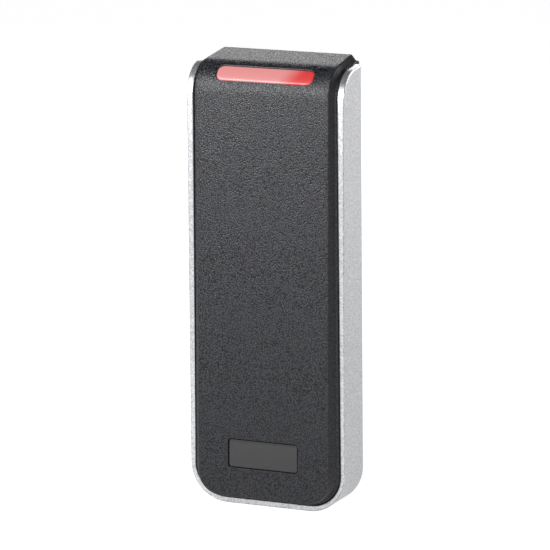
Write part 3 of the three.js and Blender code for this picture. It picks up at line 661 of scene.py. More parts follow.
cover = {
    "rearChamfer": 0.4,
    "crestRound": 0.3,
    "ledgeIn": 0.72,
    "ledgeOut": 0.28,
    "ledgeRise": 0.1,
    "wallSink": 0.45,
    "kneeRound": 0.12,
    "footRound": 0.16,
    "ledge": -5.2,
    "caseBoss": {"x": 14.6, "z": 47.0, "radius": 2.5, "rear": -6.3, "pilot": 1.25, "deep": -12.8},
    "boardPost": {"x": 13.6, "z": 39.5, "radius": 2.2, "rear": -13.9, "pilot": 1.1, "deep": -16.6},
    "studFront": -17.6,  # inside the front wall
    "lockBore": {"radius": 3.1, "y": -8.5, "high": -54},
    "reach": 1,  # how far the tools pass the surfaces that they cut
}


def coverShell():
    rearY = -body["wallGap"] - cover["rearChamfer"]
    face = places(railDown(faceProfile, outlines["face"], rearY))
    inside = places(railDown(faceProfile, outlines["face"], rearY, cover["crestRound"]))
    base = places(railDown(profiles["base"], outlines["base"], rearY))
    rings = []
    heights = rearHeights(base[0].z - cover["rearChamfer"], base)
    for edge, crest, foot, z in zip(inside, face, base, heights):
        rear = Vector((foot.x, -body["wallGap"], z))
        slope = (foot - crest).normalized()
        back = (rear - foot).normalized()
        sideways = (crest - edge).normalized()
        knee = foot - sideways * cover["ledgeIn"] - slope * cover["ledgeRise"]
        shelf = foot - sideways * cover["ledgeOut"]
        skirt = foot + back * min(cover["wallSink"], (rear - foot).length / 2)
        shoulder = crest + (knee - crest).normalized() * cover["crestRound"]
        before = knee + (crest - knee).normalized() * cover["kneeRound"]
        after = knee + (shelf - knee).normalized() * cover["kneeRound"]
        above = shelf + (knee - shelf).normalized() * cover["footRound"]
        below = shelf + (skirt - shelf).normalized() * cover["footRound"]
        rearEdge = rear - back * cover["footRound"]
        rings.append([
            *bend(edge, crest, shoulder, 4),
            *bend(before, knee, after, 2),
            *bend(above, shelf, below, 2),
            skirt,
            rearEdge,
            rear - sideways * cover["footRound"],
        ])
    shell = Patches()
    shell.strip([acrossRow(point) for point in inside], 0)
    columns = [roundRow([ring[step] for ring in rings]) for step in range(len(rings[0]))]
    shell.strip(columns, 1)
    closeRear(shell, inside[0], rings[0], [ring[-1] for ring in rings])
    return shell.build("frontCover", [finishes["face"], finishes["bevel"]])


# The chamfer along the top's rear edge and the flat rear
def closeRear(shell, edge, ring, rearRow):
    footStep = len(ring) - 3
    crest = ring[0]
    foot = ring[footStep - 1]
    drop = cover["rearChamfer"]

    def behind(point):
        share = min(1, max(0, (point - crest).length / (foot - crest).length))
        return Vector((point.x - drop * (1 - share), -body["wallGap"], point.z - drop))

    bevel = ring[:footStep]
    upper = [*reversed(bevel), *acrossRow(edge)[1:-1], *[mirrored(point) for point in bevel]]
    lower = [behind(point) for point in upper[:len(upper) - footStep]]
    lower += otherSide(lower[:footStep])
    shell.strip([upper, lower], 1)
    for side in (0, 1):
        cheek = [lower[0], upper[0], *ring[footStep:]]
        shell.polygon([mirrored(point) for point in cheek] if side else cheek, 1)
    shell.polygon([*reversed(roundRow(rearRow)), *lower], 1)


# Outline with round corners on the surface: places across, and along the side profile
def roundedOutline(width, height, radius, steps=8):
    points = []
    for signX, signS, start in ((1, 1, 0), (-1, 1, 90), (-1, -1, 180), (1, -1, 270)):
        for step in range(steps + 1):
            angle = math.radians(start + 90 * step / steps)
            points.append(Vector((
                signX * (width / 2 - radius) + radius * math.cos(angle),
                signS * (height / 2 - radius) + radius * math.sin(angle),
            )))
    return points


# Where pieces lie on the face: a length along its side profile, and the way straight in
class Seat:
    def __init__(self, length):
        self.length = length
        self.inward = -faceProfile.along(length)[1]

    def point(self, x, along, deep=0.0):
        spot = faceProfile.along(self.length - along)[0] + self.inward * deep
        return Vector((x, spot.x, spot.y))

    def loop(self, outline, deep, grow=0.0, radius=0.0, size=(0, 0)):
        points = []
        for place in outline:
            core = Vector(
                min(max(value, radius - edge / 2), edge / 2 - radius)
                for value, edge in zip(place, size))
            away = (place - core).normalized() if grow else Vector((0, 0))
            grown = place + away * grow
            points.append(self.point(grown.x, grown.y, deep))
        return points


lightBar = {
    "rise": 41.3, "width": 27.7, "height": 4.78, "radius": 1.8, "lip": 0.14, "gap": 0.08,
    "pocket": 4.5,
}
badge = {
    "z": -46.0, "width": 19.9, "height": 7.6, "radius": 0.7, "thickness": 0.8, "sink": 0.3,
    "gap": 0.2, "lip": 0.1, "behind": 0.3, "crown": 0.09, "edgeRound": 0.22,
}
belowArc = faceProfile.onArc(faceProfile.frontRise).y - badge["z"]
lightBarSeat = Seat(faceProfile.radius * (faceProfile.topRise - math.radians(lightBar["rise"])))
badgeSeat = Seat(faceProfile.arcLength + belowArc / math.cos(faceProfile.frontRise))


# A tool that sinks a recess into the face, a gap wider than its piece and with a chamfered lip
def recessTool(seat, sizes, deep, gap=0.0):
    width, height = sizes["width"] + 2 * gap, sizes["height"] + 2 * gap
    radius, lip = sizes["radius"] + gap, sizes["lip"]
    outline = roundedOutline(width, height, radius)
    loops = []
    for depth, grow in ((-1.0, lip), (0.0, lip), (lip, 0.0), (deep, 0.0)):
        loops.append(seat.loop(outline, depth, grow, radius, (width, height)))
    tool = Patches()
    tool.strip(loops, closed=True)
    tool.polygon(loops[0])
    tool.polygon(loops[-1])
    return tool.build("recess", [])


# A tool that fills a side profile from the front back to a plane of y
def cavityTool(profile, outline, rearY):
    rail = places(railDown(profile, outline, rearY))
    heights = rearHeights(rail[0].z, rail)
    flat = [Vector((point.x, rearY, z)) for point, z in zip(rail, heights)]
    tool = Patches()
    tool.strip([acrossRow(point) for point in rail])
    tool.strip([roundRow(rail), roundRow(flat)])
    tool.polygon([*roundRow(flat), *reversed(acrossRow(rail[0])[1:-1])])
    return tool.build("cavity", [])


def sectionLoop(outline, high, y):
    low = outline["low"]
    radius = outline["corner"]
    points = [Vector((halfWidth(outline, high), y, high))]
    for step in range(rowCounts["corner"] + 1):
        angle = step / rowCounts["corner"] * math.pi / 2
        x = halfWidth(outline, low) - radius * (1 - math.cos(angle))
        points.append(Vector((x, y, low + radius * (1 - math.sin(angle)))))
    return points + otherSide(points)


# A tool between two planes of y, whose top follows a profile's top line
def sectionTool(profile, outline, frontY, rearY):
    loops = [sectionLoop(outline, profile.topLine(y), y) for y in (frontY, rearY)]
    tool = Patches()
    tool.strip(loops, closed=True)
    tool.polygon(loops[0])
    tool.polygon(loops[1])
    return tool.build("opening", [])


# The bore of the locking screw, which passes through the frame and the cover from below
def lockBoreTool(high):
    bore = cover["lockBore"]
    low = body["bottom"] - cover["reach"]
    return bars([(0, bore["y"])], bore["radius"], low, high, upright=True, sides=48)


def frontCover():
    piece = coverShell()
    reach = cover["reach"]
    behind = -body["wallGap"] + reach
    opening = sectionTool(profiles["opening"], outlines["opening"], cover["ledge"], behind)
    combine(piece, cavityTool(profiles["cavity"], outlines["cavity"], behind), "DIFFERENCE")
    combine(piece, opening, "DIFFERENCE")
    for stud in (cover["caseBoss"], cover["boardPost"]):
        spots = [(sideX * stud["x"], sideZ * stud["z"]) for sideX, sideZ in corners]
        combine(piece, bars(spots, stud["radius"], cover["studFront"], stud["rear"]), "UNION")
        combine(piece, bars(spots, stud["pilot"], stud["deep"], stud["rear"] + reach), "DIFFERENCE")
    combine(piece, lockBoreTool(cover["lockBore"]["high"]), "DIFFERENCE")
    combine(piece, recessTool(lightBarSeat, lightBar, lightBar["pocket"]), "DIFFERENCE")
    pocket = badge["sink"] + badge["thickness"] + badge["behind"]
    combine(piece, recessTool(badgeSeat, badge, pocket, badge["gap"]), "DIFFERENCE")
    closeUp(piece.data, meshing["smoothBelow"])
    return finishPiece(piece, "reader", "grained_black", "front_cover")


frontCoverPiece = frontCover()
print("front cover:", len(frontCoverPiece.data.polygons), "faces")


# Light bar lens: a crowned plug with a flange behind the cover's wall

lens = {
    "sink": 0.2, "edgeRound": 0.42, "crown": 0.0, "wall": 2.85, "flange": 0.9, "rear": 3.85,
}
# How finely a plate on the face is divided
plateSteps = {"columns": 40, "rows": 14, "ends": 8}


def plateColumns(width, radius):
    ends, columns = plateSteps["ends"], plateSteps["columns"]
    straight = width / 2 - radius
    xs = [-straight - radius * math.cos(math.pi / 2 * step / ends) for step in range(ends)]
    xs += [lerp(-straight, straight, step / columns) for step in range(columns + 1)]
    return xs + [-x for x in reversed(xs[:ends])]


def edgeDistance(x, along, width, height, radius):
    beyondX = abs(x) - width / 2 + radius
    beyondS = abs(along) - height / 2 + radius
    outside = math.hypot(max(beyondX, 0), max(beyondS, 0))
    return radius - outside - min(max(beyondX, beyondS), 0)


# A plate on the face with round corners, whose rim rolls over and whose middle may be crowned
def crownedRows(width, height, radius, plate):
    rows = []
    edgeRound = plate["edgeRound"]
    for x in plateColumns(width, radius):
        overCorner = max(abs(x) - width / 2 + radius, 0)
        half = height / 2 - radius + math.sqrt(max(radius ** 2 - overCorner ** 2, 0))
        row = []
        for step in range(plateSteps["rows"] + 1):
            along = half * math.sin(math.pi * (step / plateSteps["rows"] - 0.5))
            near = min(edgeDistance(x, along, width, height, radius) / edgeRound, 1)
            roll = edgeRound * (1 - math.sqrt(1 - (1 - max(near, 0)) ** 2))
            bulge = plate["crown"] * (1 - (2 * along / height) ** 2)
            row.append((x, along, plate["sink"] + roll - bulge))
        rows.append(row)
    return rows


def rimOf(rows):
    rim = [row[-1] for row in rows] + list(reversed(rows[-1][:-1]))
    return rim + [row[0] for row in reversed(rows[:-1])] + rows[0][1:-1]


# Steps are depths below the face, each with how far the plate grows there
def plateOnFace(name, seat, size, radius, plate, steps, finish):
    rows = crownedRows(*size, radius, plate)
    rim = rimOf(rows)
    outline = [Vector(spot[:2]) for spot in rim]
    loops = [[seat.point(*spot) for spot in rim]]
    for deep, grow in steps:
        loops.append(seat.loop(outline, deep, grow, radius, size))
    shell = Patches()
    shell.strip([[seat.point(*spot) for spot in row] for row in rows])
    shell.strip(loops, closed=True)
    shell.polygon(loops[-1])
    return shell.build(name, [finishes[finish]], meshing["plateSmoothBelow"])


def lightBarLens():
    gap = lightBar["gap"]
    size = (lightBar["width"] - 2 * gap, lightBar["height"] - 2 * gap)
    steps = ((lens["wall"], 0.0), (lens["wall"], lens["flange"]), (lens["rear"], lens["flange"]))
    radius = lightBar["radius"] - gap
    piece = plateOnFace("lightBarLens", lightBarSeat, size, radius, lens, steps, "lens")
    return finishPiece(piece, "reader", "red_lens", "light_bar_lens")


def badgePlate():
    size = (badge["width"], badge["height"])
    steps = ((badge["sink"] + badge["thickness"], 0.0),)
    piece = plateOnFace("badgePlate", badgeSeat, size, badge["radius"], badge, steps, "badge")
    return finishPiece(piece, "reader", "badge_grey", "badge_plate")


lightBarLens()
badgePlate()
print("light bar lens and badge plate made")


# Silver frame: a lip profile carried round the sides and the bottom

sideFrame = {
    "rearBottom": -3.5,
    "rearTop": -4.3,
    # From the outer side towards the cover, and down from the rim
    "edge": (
        (0.0, 0.75), (0.0, 0.5), (0.03, 0.26), (0.1, 0.07), (0.17, 0.02), (0.21, 0.13), (0.26, 0.0),
    ),
    "lip": ((0.35, 0.0), (0.18, 0.03), (0.08, 0.09), (0.02, 0.2), (0.0, 0.4)),
    "rearRound": 0.15,
    "boreHigh": -58,
    "smoothAngle": 24,
}


def silverFrame():
    profile = profiles["frame"]
    outer = railDown(profile, outlines["frameOuter"], sideFrame["rearTop"])
    inner = railDown(profile, outlines["frameInner"], sideFrame["rearTop"])
    rings = []
    for (far, rise), (near, unused) in zip(outer, inner):
        across = near - far
        width = across.length
        across.normalize()
        out = profile.outward(rise)
        up = Vector((0, out.x, out.y))
        lip = [far + across * a - up * b for a, b in sideFrame["edge"]]
        lip += [far + across * (width - a) - up * b for a, b in sideFrame["lip"]]
        rings.append(lip)
    topRows = rowCounts["top"]
    for row, lip in enumerate(rings):
        turned = (lip[-1] - lip[0]).normalized() * sideFrame["rearRound"]
        rear = []
        for step in (-1, 0):
            z = lip[step].z
            if row < topRows:
                high = rings[0][step].z - sideFrame["rearRound"]
                z = lerp(high, rings[topRows][step].z, row / topRows)
            y = lerp(sideFrame["rearBottom"], sideFrame["rearTop"], shareUp(z))
            rear.append(Vector((lip[step].x, y, z)))
        lip += [rear[0], rear[1] + turned, rear[1] - Vector((0, sideFrame["rearRound"], 0))]
    shell = Patches()
    columns = [roundRow([ring[step] for ring in rings]) for step in range(len(rings[0]))]
    shell.strip(columns + [columns[0]])
    shell.polygon(rings[0])
    shell.polygon([mirrored(point) for point in rings[0]])
    piece = shell.build("sideFrame", [finishes["silver"]], sideFrame["smoothAngle"])
    combine(piece, lockBoreTool(sideFrame["boreHigh"]), "DIFFERENCE", 0)
    closeUp(piece.data, sideFrame["smoothAngle"])
    return finishPiece(piece, "reader", "satin_silver", "side_frame")


silverFramePiece = silverFrame()
print("silver frame:", len(silverFramePiece.data.polygons), "faces")


# Pieces whose solids have the right shape: welded copies, most with small rounded edges

# The start of the nodes' names, their body, finish, slot and edge radius
dressed = [
    ("mounting_plate", "wall_plate", "moulded", "moulded_black", 0.22),
    ("lock_insert", "wall_plate", "brass", "brass", 0.15),
    ("rear_cover", "reader", "moulded", "moulded_black", 0.18),
    ("locking_screw", "lock_screw", "steel", "steel", 0.12),
    ("tamper_window", "reader", "clear", "clear_plastic", 0.1),
    ("terminal_header", "reader", "terminal", "terminal_green", 0.1),
    ("terminal_plug_upper", "upper_plug", "terminal", "terminal_green", 0.12),
    ("terminal_plug_lower", "lower_plug", "terminal", "terminal_green", 0.12),
    ("light_guide", "reader", "clear", "clear_plastic", 0.1),
    ("main_board", "reader", "board", "board_green", 0.08),
    ("hf_antenna", "reader", "copper", "copper", 0.0),
    ("ferrite_sheet", "reader", "ferrite", "ferrite", 0.06),
    ("status_led", "reader", "clear", "clear_plastic", 0.1),
    ("shield_can", "reader", "tin", "steel", 0.12),
    ("processor_chip", "reader", "chip", "chip_black", 0.1),
    ("secure_chip", "reader", "chip", "chip_black", 0.1),
    ("power_inductor", "reader", "ferrite", "ferrite", 0.3),
    ("capacitor", "reader", "tin", "steel", 0.25),
    ("sounder", "reader", "chip", "chip_black", 0.25),
    ("tamper_sensor", "reader", "chip", "chip_black", 0.12),
]


def camelName(node):
    first, *rest = node.split("_")
    return first + "".join(word.capitalize() for word in rest)


def simplify(work):
    flat = math.radians(meshing["flatBelow"])
    bmesh.ops.remove_doubles(work, verts=work.verts, dist=meshing["copyWeld"] * mm)
    bmesh.ops.dissolve_limit(work, angle_limit=flat, verts=work.verts, edges=work.edges)


def dressCopy(node, bodyName, finish, slotName, edge):
    mesh = bpy.data.meshes.new(node)
    rework(mesh, simplify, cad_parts[node].data)
    setFinish(mesh, [finishes[finish]], [0] * len(mesh.polygons))
    piece = linked(camelName(node), mesh)
    if edge:
        roundEdges(piece, edge)
    smoothBelow(piece.data, meshing["copySmoothBelow"])
    return finishPiece(piece, bodyName, slotName, node)


def nodesFrom(start):
    return sorted(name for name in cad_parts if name.startswith(start))


for start, *looks in dressed:
    for node in nodesFrom(start):
        dressCopy(node, *looks)
print("other pieces dressed")


# Pieces grown by Geometry Nodes: their sizes are the named inputs of a tree

grownEdges = {"screws": 0.07, "clamps": 0.05}  # radii of their edges


# Whole numbers are counts, and the others are lengths in millimetres
def newTree(name, sizes):
    tree = bpy.data.node_groups.new(name, "GeometryNodeTree")
    tree.interface.new_socket("Places", in_out="INPUT", socket_type="NodeSocketGeometry")
    tree.interface.new_socket("Geometry", in_out="OUTPUT", socket_type="NodeSocketGeometry")
    for size, value in sizes.items():
        kind = "NodeSocketInt" if isinstance(value, int) else "NodeSocketFloat"
        tree.interface.new_socket(size, in_out="INPUT", socket_type=kind)
    graph = Graph(tree)
    return graph, graph.add("NodeGroupInput", output="Places")


def endTree(graph, shape, finish):
    single = graph.add("GeometryNodeRealizeInstances", sockets={"Geometry": shape})
    finished = graph.add(
        "GeometryNodeSetMaterial", sockets={"Geometry": single, "Material": finishes[finish]})
    graph.add("NodeGroupOutput", sockets={"Geometry": finished})
    return graph.tree


# Runs a tree on points and edges that lie in its own plane, and moves the result into place
def growPiece(name, tree, sizes, points, edges, move, smoothAngle=35, edgeRound=0.0):
    piece = linked(name, rawMesh(name, points, edges, []))
    modifier = piece.modifiers.new("nodes", "NODES")
    modifier.node_group = tree
    for item in tree.interface.items_tree:
        if item.in_out == "INPUT" and item.name in sizes:
            value = sizes[item.name]
            modifier[item.identifier] = value if isinstance(value, int) else value * mm
    bakeModifiers(piece)
    if edgeRound:
        roundEdges(piece, edgeRound)
    mesh = piece.data
    # The tree leaves an empty slot before its own finish
    setFinish(mesh, [mesh.materials[-1]], [0] * len(mesh.polygons))
    mesh.transform(move)
    closeUp(mesh, smoothAngle)
    return piece


# From the tree's plane to the board's: its Z looks towards the wall
def ontoBoard(y):
    return Matrix.Translation((0, y * mm, 0)) @ Matrix.Rotation(-math.pi / 2, 4, "X")


def rectangle(graph, width, height):
    return graph.add(
        "GeometryNodeCurvePrimitiveQuadrilateral", sockets={"Width": width, "Height": height})


# Copies of a shape in a row along one axis, with the middle of the row at the origin
def rowOf(graph, shape, axis, count, pitch):
    first = graph.add("ShaderNodeCombineXYZ", sockets={axis: 0 - pitch * (count - 1) / 2})
    step = graph.add("ShaderNodeCombineXYZ", sockets={axis: pitch})
    row = graph.add(
        "GeometryNodeMeshLine", sockets={"Count": count, "Start Location": first, "Offset": step})
    return graph.add("GeometryNodeInstanceOnPoints", sockets={"Points": row, "Instance": shape})


def sweep(graph, path, section):
    return graph.add(
        "GeometryNodeCurveToMesh",
        sockets={"Curve": path, "Profile Curve": section, "Fill Caps": True})


# Edges that come in as the tree's own places, as a level path
def placedPath(graph, start):
    path = graph.add("GeometryNodeMeshToCurve", sockets={"Mesh": start})
    return graph.add("GeometryNodeSetCurveNormal", {"mode": "Z_UP"}, {"Curve": path})


# A closed loop of edges with round corners, which stays level along its way
def levelLoop(graph, width, height, radius, count=8):
    path = rectangle(graph, width, height)
    rounded = graph.add(
        "GeometryNodeFilletCurve", {"mode": "POLY"},
        {"Curve": path, "Count": count, "Radius": radius, "Limit Radius": True})
    return graph.add("GeometryNodeSetCurveNormal", {"mode": "Z_UP"}, {"Curve": rounded})


# Wound coil round the ferrite sheet
coil = {
    "Turns Across": 9, "Turns Deep": 4, "Wire Diameter": 0.24, "Wire Pitch": 0.262, "Stray": 0.008,
    "Seed": 5, "Corner Radius": 2.0,
}


def coilTree(sizes):
    graph, start = newTree("wound coil", sizes)
    across, deep = start.out("Turns Across"), start.out("Turns Deep")
    pitch, stray = start.out("Wire Pitch"), start.out("Stray")
    path = levelLoop(
        graph, start.out("Path Width"), start.out("Path Height"), start.out("Corner Radius"))
    grid = graph.add("GeometryNodeMeshGrid", sockets={
        "Size X": (across - 1) * pitch, "Size Y": (deep - 1) * pitch,
        "Vertices X": across, "Vertices Y": deep})
    least = graph.add("ShaderNodeCombineXYZ", sockets={"X": 0 - stray, "Y": 0 - stray})
    most = graph.add("ShaderNodeCombineXYZ", sockets={"X": stray, "Y": stray})
    offset = graph.add(
        "FunctionNodeRandomValue", {"data_type": "FLOAT_VECTOR"},
        {"Min": least, "Max": most, "Seed": start.out("Seed")})
    spots = graph.add("GeometryNodeSetPosition", sockets={"Geometry": grid, "Offset": offset})
    wire = graph.add(
        "GeometryNodeCurvePrimitiveCircle",
        sockets={"Resolution": 6, "Radius": start.out("Wire Diameter") / 2})
    turns = graph.add("GeometryNodeInstanceOnPoints", sockets={"Points": spots, "Instance": wire})
    section = graph.add("GeometryNodeRealizeInstances", sockets={"Geometry": turns})
    return endTree(graph, sweep(graph, path, section), "copper")


def woundCoil():
    low, high = boxOf("lf_antenna_coil")
    size = high - low
    band = coil["Turns Across"] * coil["Wire Pitch"]
    sizes = dict(coil, **{"Path Width": size.x - band, "Path Height": size.z - band})
    move = ontoBoard(centreOf("lf_antenna_coil").y)
    piece = growPiece("woundCoil", coilTree(sizes), sizes, [(0, 0, 0)], [], move, 40)
    return finishPiece(piece, "reader", "copper", "lf_antenna_coil")


# Gasket between the front cover's ledge and the rear cover
gasket = {"Strip Width": 0.6, "Strip Height": 0.38, "Edge Radius": 0.14}
gasketShare = 0.58  # where it runs between the opening's wall and the cavity's


def gasketTree(sizes):
    graph, start = newTree("cover gasket", sizes)
    section = rectangle(graph, start.out("Strip Width"), start.out("Strip Height"))
    rounded = graph.add(
        "GeometryNodeFilletCurve", {"mode": "POLY"},
        {"Curve": section, "Count": 3, "Radius": start.out("Edge Radius"), "Limit Radius": True})
    return endTree(graph, sweep(graph, placedPath(graph, start), rounded), "rubber")


def coverGasket():
    middle = centreOf("cover_gasket").y
    loops = []
    for name in ("opening", "cavity"):
        high = profiles[name].topLine(middle)
        loops.append(sectionLoop(outlines[name], high, 0))
    path = [lerp(wide, narrow, gasketShare) for wide, narrow in zip(*loops)]
    points = [(point.x, -point.z, 0) for point in path]
    edges = [(step, (step + 1) % len(points)) for step in range(len(points))]
    move = ontoBoard(middle)
    piece = growPiece("coverGasket", gasketTree(gasket), gasket, points, edges, move, 40)
    return finishPiece(piece, "reader", "gasket_rubber", "cover_gasket")


# Slotted screws: one tree for all of them, with a mesh for each set
screwSizes = {
    "case": {"Head Radius": 2.0, "Head Height": 1.2, "Shaft Radius": 0.95, "Shaft Length": 8.0,
             "Slot Width": 0.5, "Slot Depth": 0.5, "Sides": 40},
    "board": {"Head Radius": 1.8, "Head Height": 1.2, "Shaft Radius": 0.8, "Shaft Length": 4.0,
              "Slot Width": 0.5, "Slot Depth": 0.5, "Sides": 40},
    "clamp": {"Head Radius": 0.9, "Head Height": 0.9, "Shaft Radius": 0.8, "Shaft Length": 0.7,
              "Slot Width": 0.5, "Slot Depth": 0.5, "Sides": 28},
}
# The mesh's name, the start of its nodes' names, their body, the sizes and where the heads look
screwSets = (
    ("caseScrews", "case_screw", "reader", "case", "rear"),
    ("boardScrews", "board_screw", "reader", "board", "rear"),
    ("upperClampScrews", "clamp_screw_upper", "upper_plug", "clamp", "up"),
    ("lowerClampScrews", "clamp_screw_lower", "lower_plug", "clamp", "down"),
)


# A screw whose head's top is at the place, with its slot along X
def screwTree(sizes):
    graph, start = newTree("slotted screw", sizes)
    headHeight, shaftLength = start.out("Head Height"), start.out("Shaft Length")
    slotDepth, headRadius = start.out("Slot Depth"), start.out("Head Radius")

    def raised(shape, height):
        shift = graph.add("ShaderNodeCombineXYZ", sockets={"Z": height})
        return graph.add("GeometryNodeTransform", sockets={"Geometry": shape, "Translation": shift})

    def rod(radius, length):
        return graph.add("GeometryNodeMeshCylinder", sockets={
            "Vertices": start.out("Sides"), "Radius": radius, "Depth": length})

    head = raised(rod(headRadius, headHeight), 0 - headHeight / 2)
    # The shaft starts inside the head, so that the two join cleanly
    overlap = headHeight / 3
    shaft = raised(rod(start.out("Shaft Radius"), shaftLength + overlap),
                   0 - headHeight + overlap / 2 - shaftLength / 2)
    slotSize = graph.add("ShaderNodeCombineXYZ", sockets={
        "X": 3 * headRadius, "Y": start.out("Slot Width"), "Z": 2 * slotDepth})
    slot = graph.add("GeometryNodeMeshCube", sockets={"Size": slotSize})
    blank = graph.add("GeometryNodeMeshBoolean", {"operation": "UNION"}, {"Mesh 2": head})
    graph.tree.links.new(shaft.socket, blank.socket.node.inputs["Mesh 2"])
    screw = graph.add(
        "GeometryNodeMeshBoolean", {"operation": "DIFFERENCE"}, {"Mesh 1": blank, "Mesh 2": slot})
    placed = graph.add("GeometryNodeInstanceOnPoints", sockets={"Points": start, "Instance": screw})
    return endTree(graph, placed, "steel")


def screwSet(name, start, bodyName, kind, facing, tree):
    nodes = nodesFrom(start)
    points = []
    for node in nodes:
        low, high = boxOf(node)
        centre = (low + high) / 2
        points.append({
            "rear": (centre.x, -centre.z, high.y),
            "up": (centre.x, centre.y, high.z),
            "down": (centre.x, -centre.y, -low.z),
        }[facing])
    turns = {"rear": ontoBoard(0), "up": Matrix(), "down": Matrix.Rotation(math.pi, 4, "X")}
    piece = growPiece(
        name, tree, screwSizes[kind], points, [], turns[facing], edgeRound=grownEdges["screws"])
    return finishPiece(piece, bodyName, "steel", *nodes)


# Brass wire clamps in the ports of the plugs
wireClamps = {
    "Count": 5, "Pitch": 3.5, "Clamp Width": 1.98, "Wall": 0.26, "Clamp Depth": 1.8,
    "Corner Radius": 0.3,
}
clampSink = 0.25  # how far the clamps lie inside the plug's rear


def clampTree(sizes):
    graph, start = newTree("wire clamps", sizes)
    width = start.out("Clamp Width")
    path = levelLoop(graph, width, width, start.out("Corner Radius"), 4)
    wall = rectangle(graph, start.out("Wall"), start.out("Clamp Depth"))
    row = rowOf(graph, sweep(graph, path, wall), "X", start.out("Count"), start.out("Pitch"))
    return endTree(graph, row, "brass")


def clampsIn(plug, bodyName, name, tree):
    rear = boxOf(plug)[1].y
    middle = rear - clampSink - wireClamps["Clamp Depth"] / 2
    move = Matrix.Translation((0, 0, centreOf(plug).z * mm)) @ ontoBoard(middle)
    piece = growPiece(
        name, tree, wireClamps, [(0, 0, 0)], [], move, edgeRound=grownEdges["clamps"])
    return finishPiece(piece, bodyName, "brass")


# Legs of the chips on the board
chipLegs = {
    "processor_chip": {
        "Legs": 12, "Pitch": 0.65, "Sides": 4, "Leg Width": 0.28, "Leg Thickness": 0.13},
    "secure_chip": {
        "Legs": 4, "Pitch": 1.0, "Sides": 2, "Leg Width": 0.4, "Leg Thickness": 0.15},
}
# A leg leaves the chip at a share of its height and bends down to the board
legBend = {"share": 0.55, "round": 0.06, "outs": (-0.2, 0.22, 0.32, 0.42, 0.52, 0.95)}


# The path of one leg comes in as edges; it is repeated along a side, and the side round the chip
def legTree(sizes):
    graph, start = newTree("chip legs", sizes)
    section = rectangle(graph, start.out("Leg Width"), start.out("Leg Thickness"))
    leg = sweep(graph, placedPath(graph, start), section)
    side = rowOf(graph, leg, "Y", start.out("Legs"), start.out("Pitch"))
    around = graph.add("GeometryNodeMeshLine", sockets={
        "Count": start.out("Sides"), "Offset": (0, 0, 0)})
    turn = graph.add("GeometryNodeInputIndex") * (2 * math.pi) / start.out("Sides")
    rotation = graph.add("ShaderNodeCombineXYZ", sockets={"Z": turn})
    placed = graph.add("GeometryNodeInstanceOnPoints", sockets={
        "Points": around, "Instance": side, "Rotation": rotation})
    return endTree(graph, placed, "tin")


def legsOf(chip, sizes):
    low, high = boxOf(chip)
    centre = (low + high) / 2
    half = (high.x - low.x) / 2
    lying = sizes["Leg Thickness"] / 2
    rise = (high.y - low.y) * legBend["share"]
    bendDown = legBend["round"]
    heights = (rise, rise, rise - bendDown, lying + bendDown, lying, lying)
    points = [(half + out, 0, height) for out, height in zip(legBend["outs"], heights)]
    edges = [(step, step + 1) for step in range(len(points) - 1)]
    move = Matrix.Translation((centre.x * mm, 0, centre.z * mm)) @ ontoBoard(low.y)
    piece = growPiece(camelName(chip) + "Legs", legTree(sizes), sizes, points, edges, move)
    return finishPiece(piece, "reader", "steel")


woundCoil()
coverGasket()
print("coil and gasket grown")
screws = screwTree(screwSizes["case"])
for screwSettings in screwSets:
    screwSet(*screwSettings, screws)
clamps = clampTree(wireClamps)
clampsIn("terminal_plug_upper", "upper_plug", "upperWireClamps", clamps)
clampsIn("terminal_plug_lower", "lower_plug", "lowerWireClamps", clamps)
for chip, sizes in chipLegs.items():
    legsOf(chip, sizes)
print("screws, wire clamps and chip legs grown")


# Floor, light and camera

stage = {
    "floorHalf": 6000, "floorGap": 0.02, "floorColour": (0.4, 0.4, 0.4, 1),
    "floorSeen": 0.9, "floorMirrored": 0.62,
    "front": (1, 1, 1, 1), "behind": (0.1, 0.1, 0.1, 1), "overhead": (0.03, 0.03, 0.03, 1),
    "behindEdge": (-0.3, 0.3), "overheadEdge": (0.5, 0.7),
}


def stageFloor():
    half, z = stage["floorHalf"], body["bottom"] - stage["floorGap"]
    points = [(-half, -half, z), (half, -half, z), (half, half, z), (-half, half, z)]
    floor = linked("floor", rawMesh("floor", points, [], [(0, 1, 2, 3)]))
    material = bpy.data.materials.new("pale floor")
    material.use_nodes = True
    graph = Graph(material.node_tree)
    seen = graph.add("ShaderNodeLightPath", output="Is Camera Ray")
    glossy = seen.out("Is Glossy Ray")
    mirrored = glossy.math("MAXIMUM", glossy, seen.out("Is Transmission Ray"))
    matte = graph.add("ShaderNodeBsdfDiffuse", sockets={"Color": stage["floorColour"]})
    strength = stage["floorSeen"] * seen + stage["floorMirrored"] * mirrored
    glow = graph.add("ShaderNodeEmission", sockets={"Strength": strength})
    both = graph.add("ShaderNodeAddShader", sockets={0: matte, 1: glow})
    graph.add("ShaderNodeOutputMaterial", sockets={"Surface": both})
    floor.data.materials.append(material)


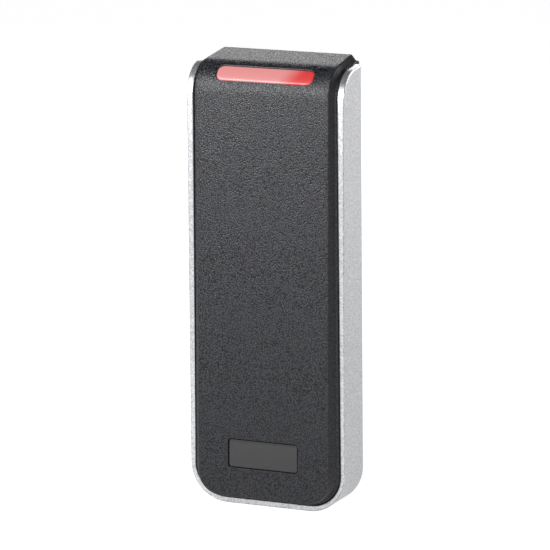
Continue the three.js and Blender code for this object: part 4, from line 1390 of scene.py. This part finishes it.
def stageWorld():
    world = bpy.data.worlds.new("studio")
    bpy.context.scene.world = world
    world.use_nodes = True
    graph = Graph(world.node_tree)
    direction = graph.add("ShaderNodeTexCoord", output="Generated")
    split = graph.add("ShaderNodeSeparateXYZ", sockets={0: direction})
    behind = split.out("Y").smooth(*stage["behindEdge"])
    level = graph.mix(behind, stage["front"], stage["behind"])
    overhead = split.out("Z").smooth(*stage["overheadEdge"])
    light = graph.mix(overhead, level, stage["overhead"])
    seen = graph.add("ShaderNodeLightPath", output="Is Camera Ray")
    colour = graph.mix(seen, light, (1, 1, 1, 1))
    background = graph.add("ShaderNodeBackground", sockets={"Color": colour, "Strength": 1.0})
    graph.add("ShaderNodeOutputWorld", sockets={"Surface": background})


lamps = {
    "key": {"place": (-85, -190, 115), "aim": (0, -19, 50), "size": 90, "power": 0.69},
    "back": {"place": (-260, 560, 200), "aim": (0, 0, 50), "size": 300, "power": 0.98},
    "side": {"place": (400, 500, 160), "aim": (0, 0, 0), "size": 300, "power": 0.9},
}


def stageLamps():
    for name, lamp in lamps.items():
        data = bpy.data.lights.new(name, "AREA")
        data.size = lamp["size"] * mm
        data.energy = lamp["power"]
        source = linked(name, data)
        away = Vector(lamp["place"]) - Vector(lamp["aim"])
        source.location = Vector(lamp["place"]) * mm
        source.rotation_mode = "QUATERNION"
        source.rotation_quaternion = away.to_track_quat("Z", "Y")
        source.visible_camera = False


view = {
    "place": (408.51, -934.98, 219.61), "yaw": 23.833, "pitch": 12.169, "roll": 0.435,
    "lens": 254.4, "sensor": 36, "near": 50, "far": 30000,
}


def stageCamera():
    data = bpy.data.cameras.new("camera")
    data.lens = view["lens"]
    data.sensor_width = view["sensor"]
    data.clip_start = view["near"] * mm
    data.clip_end = view["far"] * mm
    camera = linked("camera", data)
    turn = (
        Matrix.Rotation(math.radians(view["yaw"]), 4, "Z")
        @ Matrix.Rotation(math.radians(90 - view["pitch"]), 4, "X")
        @ Matrix.Rotation(math.radians(-view["roll"]), 4, "Z")
    )
    camera.matrix_world = Matrix.Translation(Vector(view["place"]) * mm) @ turn
    bpy.context.scene.camera = camera


stageFloor()
stageWorld()
stageLamps()
stageCamera()
scene = bpy.context.scene
scene.view_settings.view_transform = "Standard"
print("stage set")
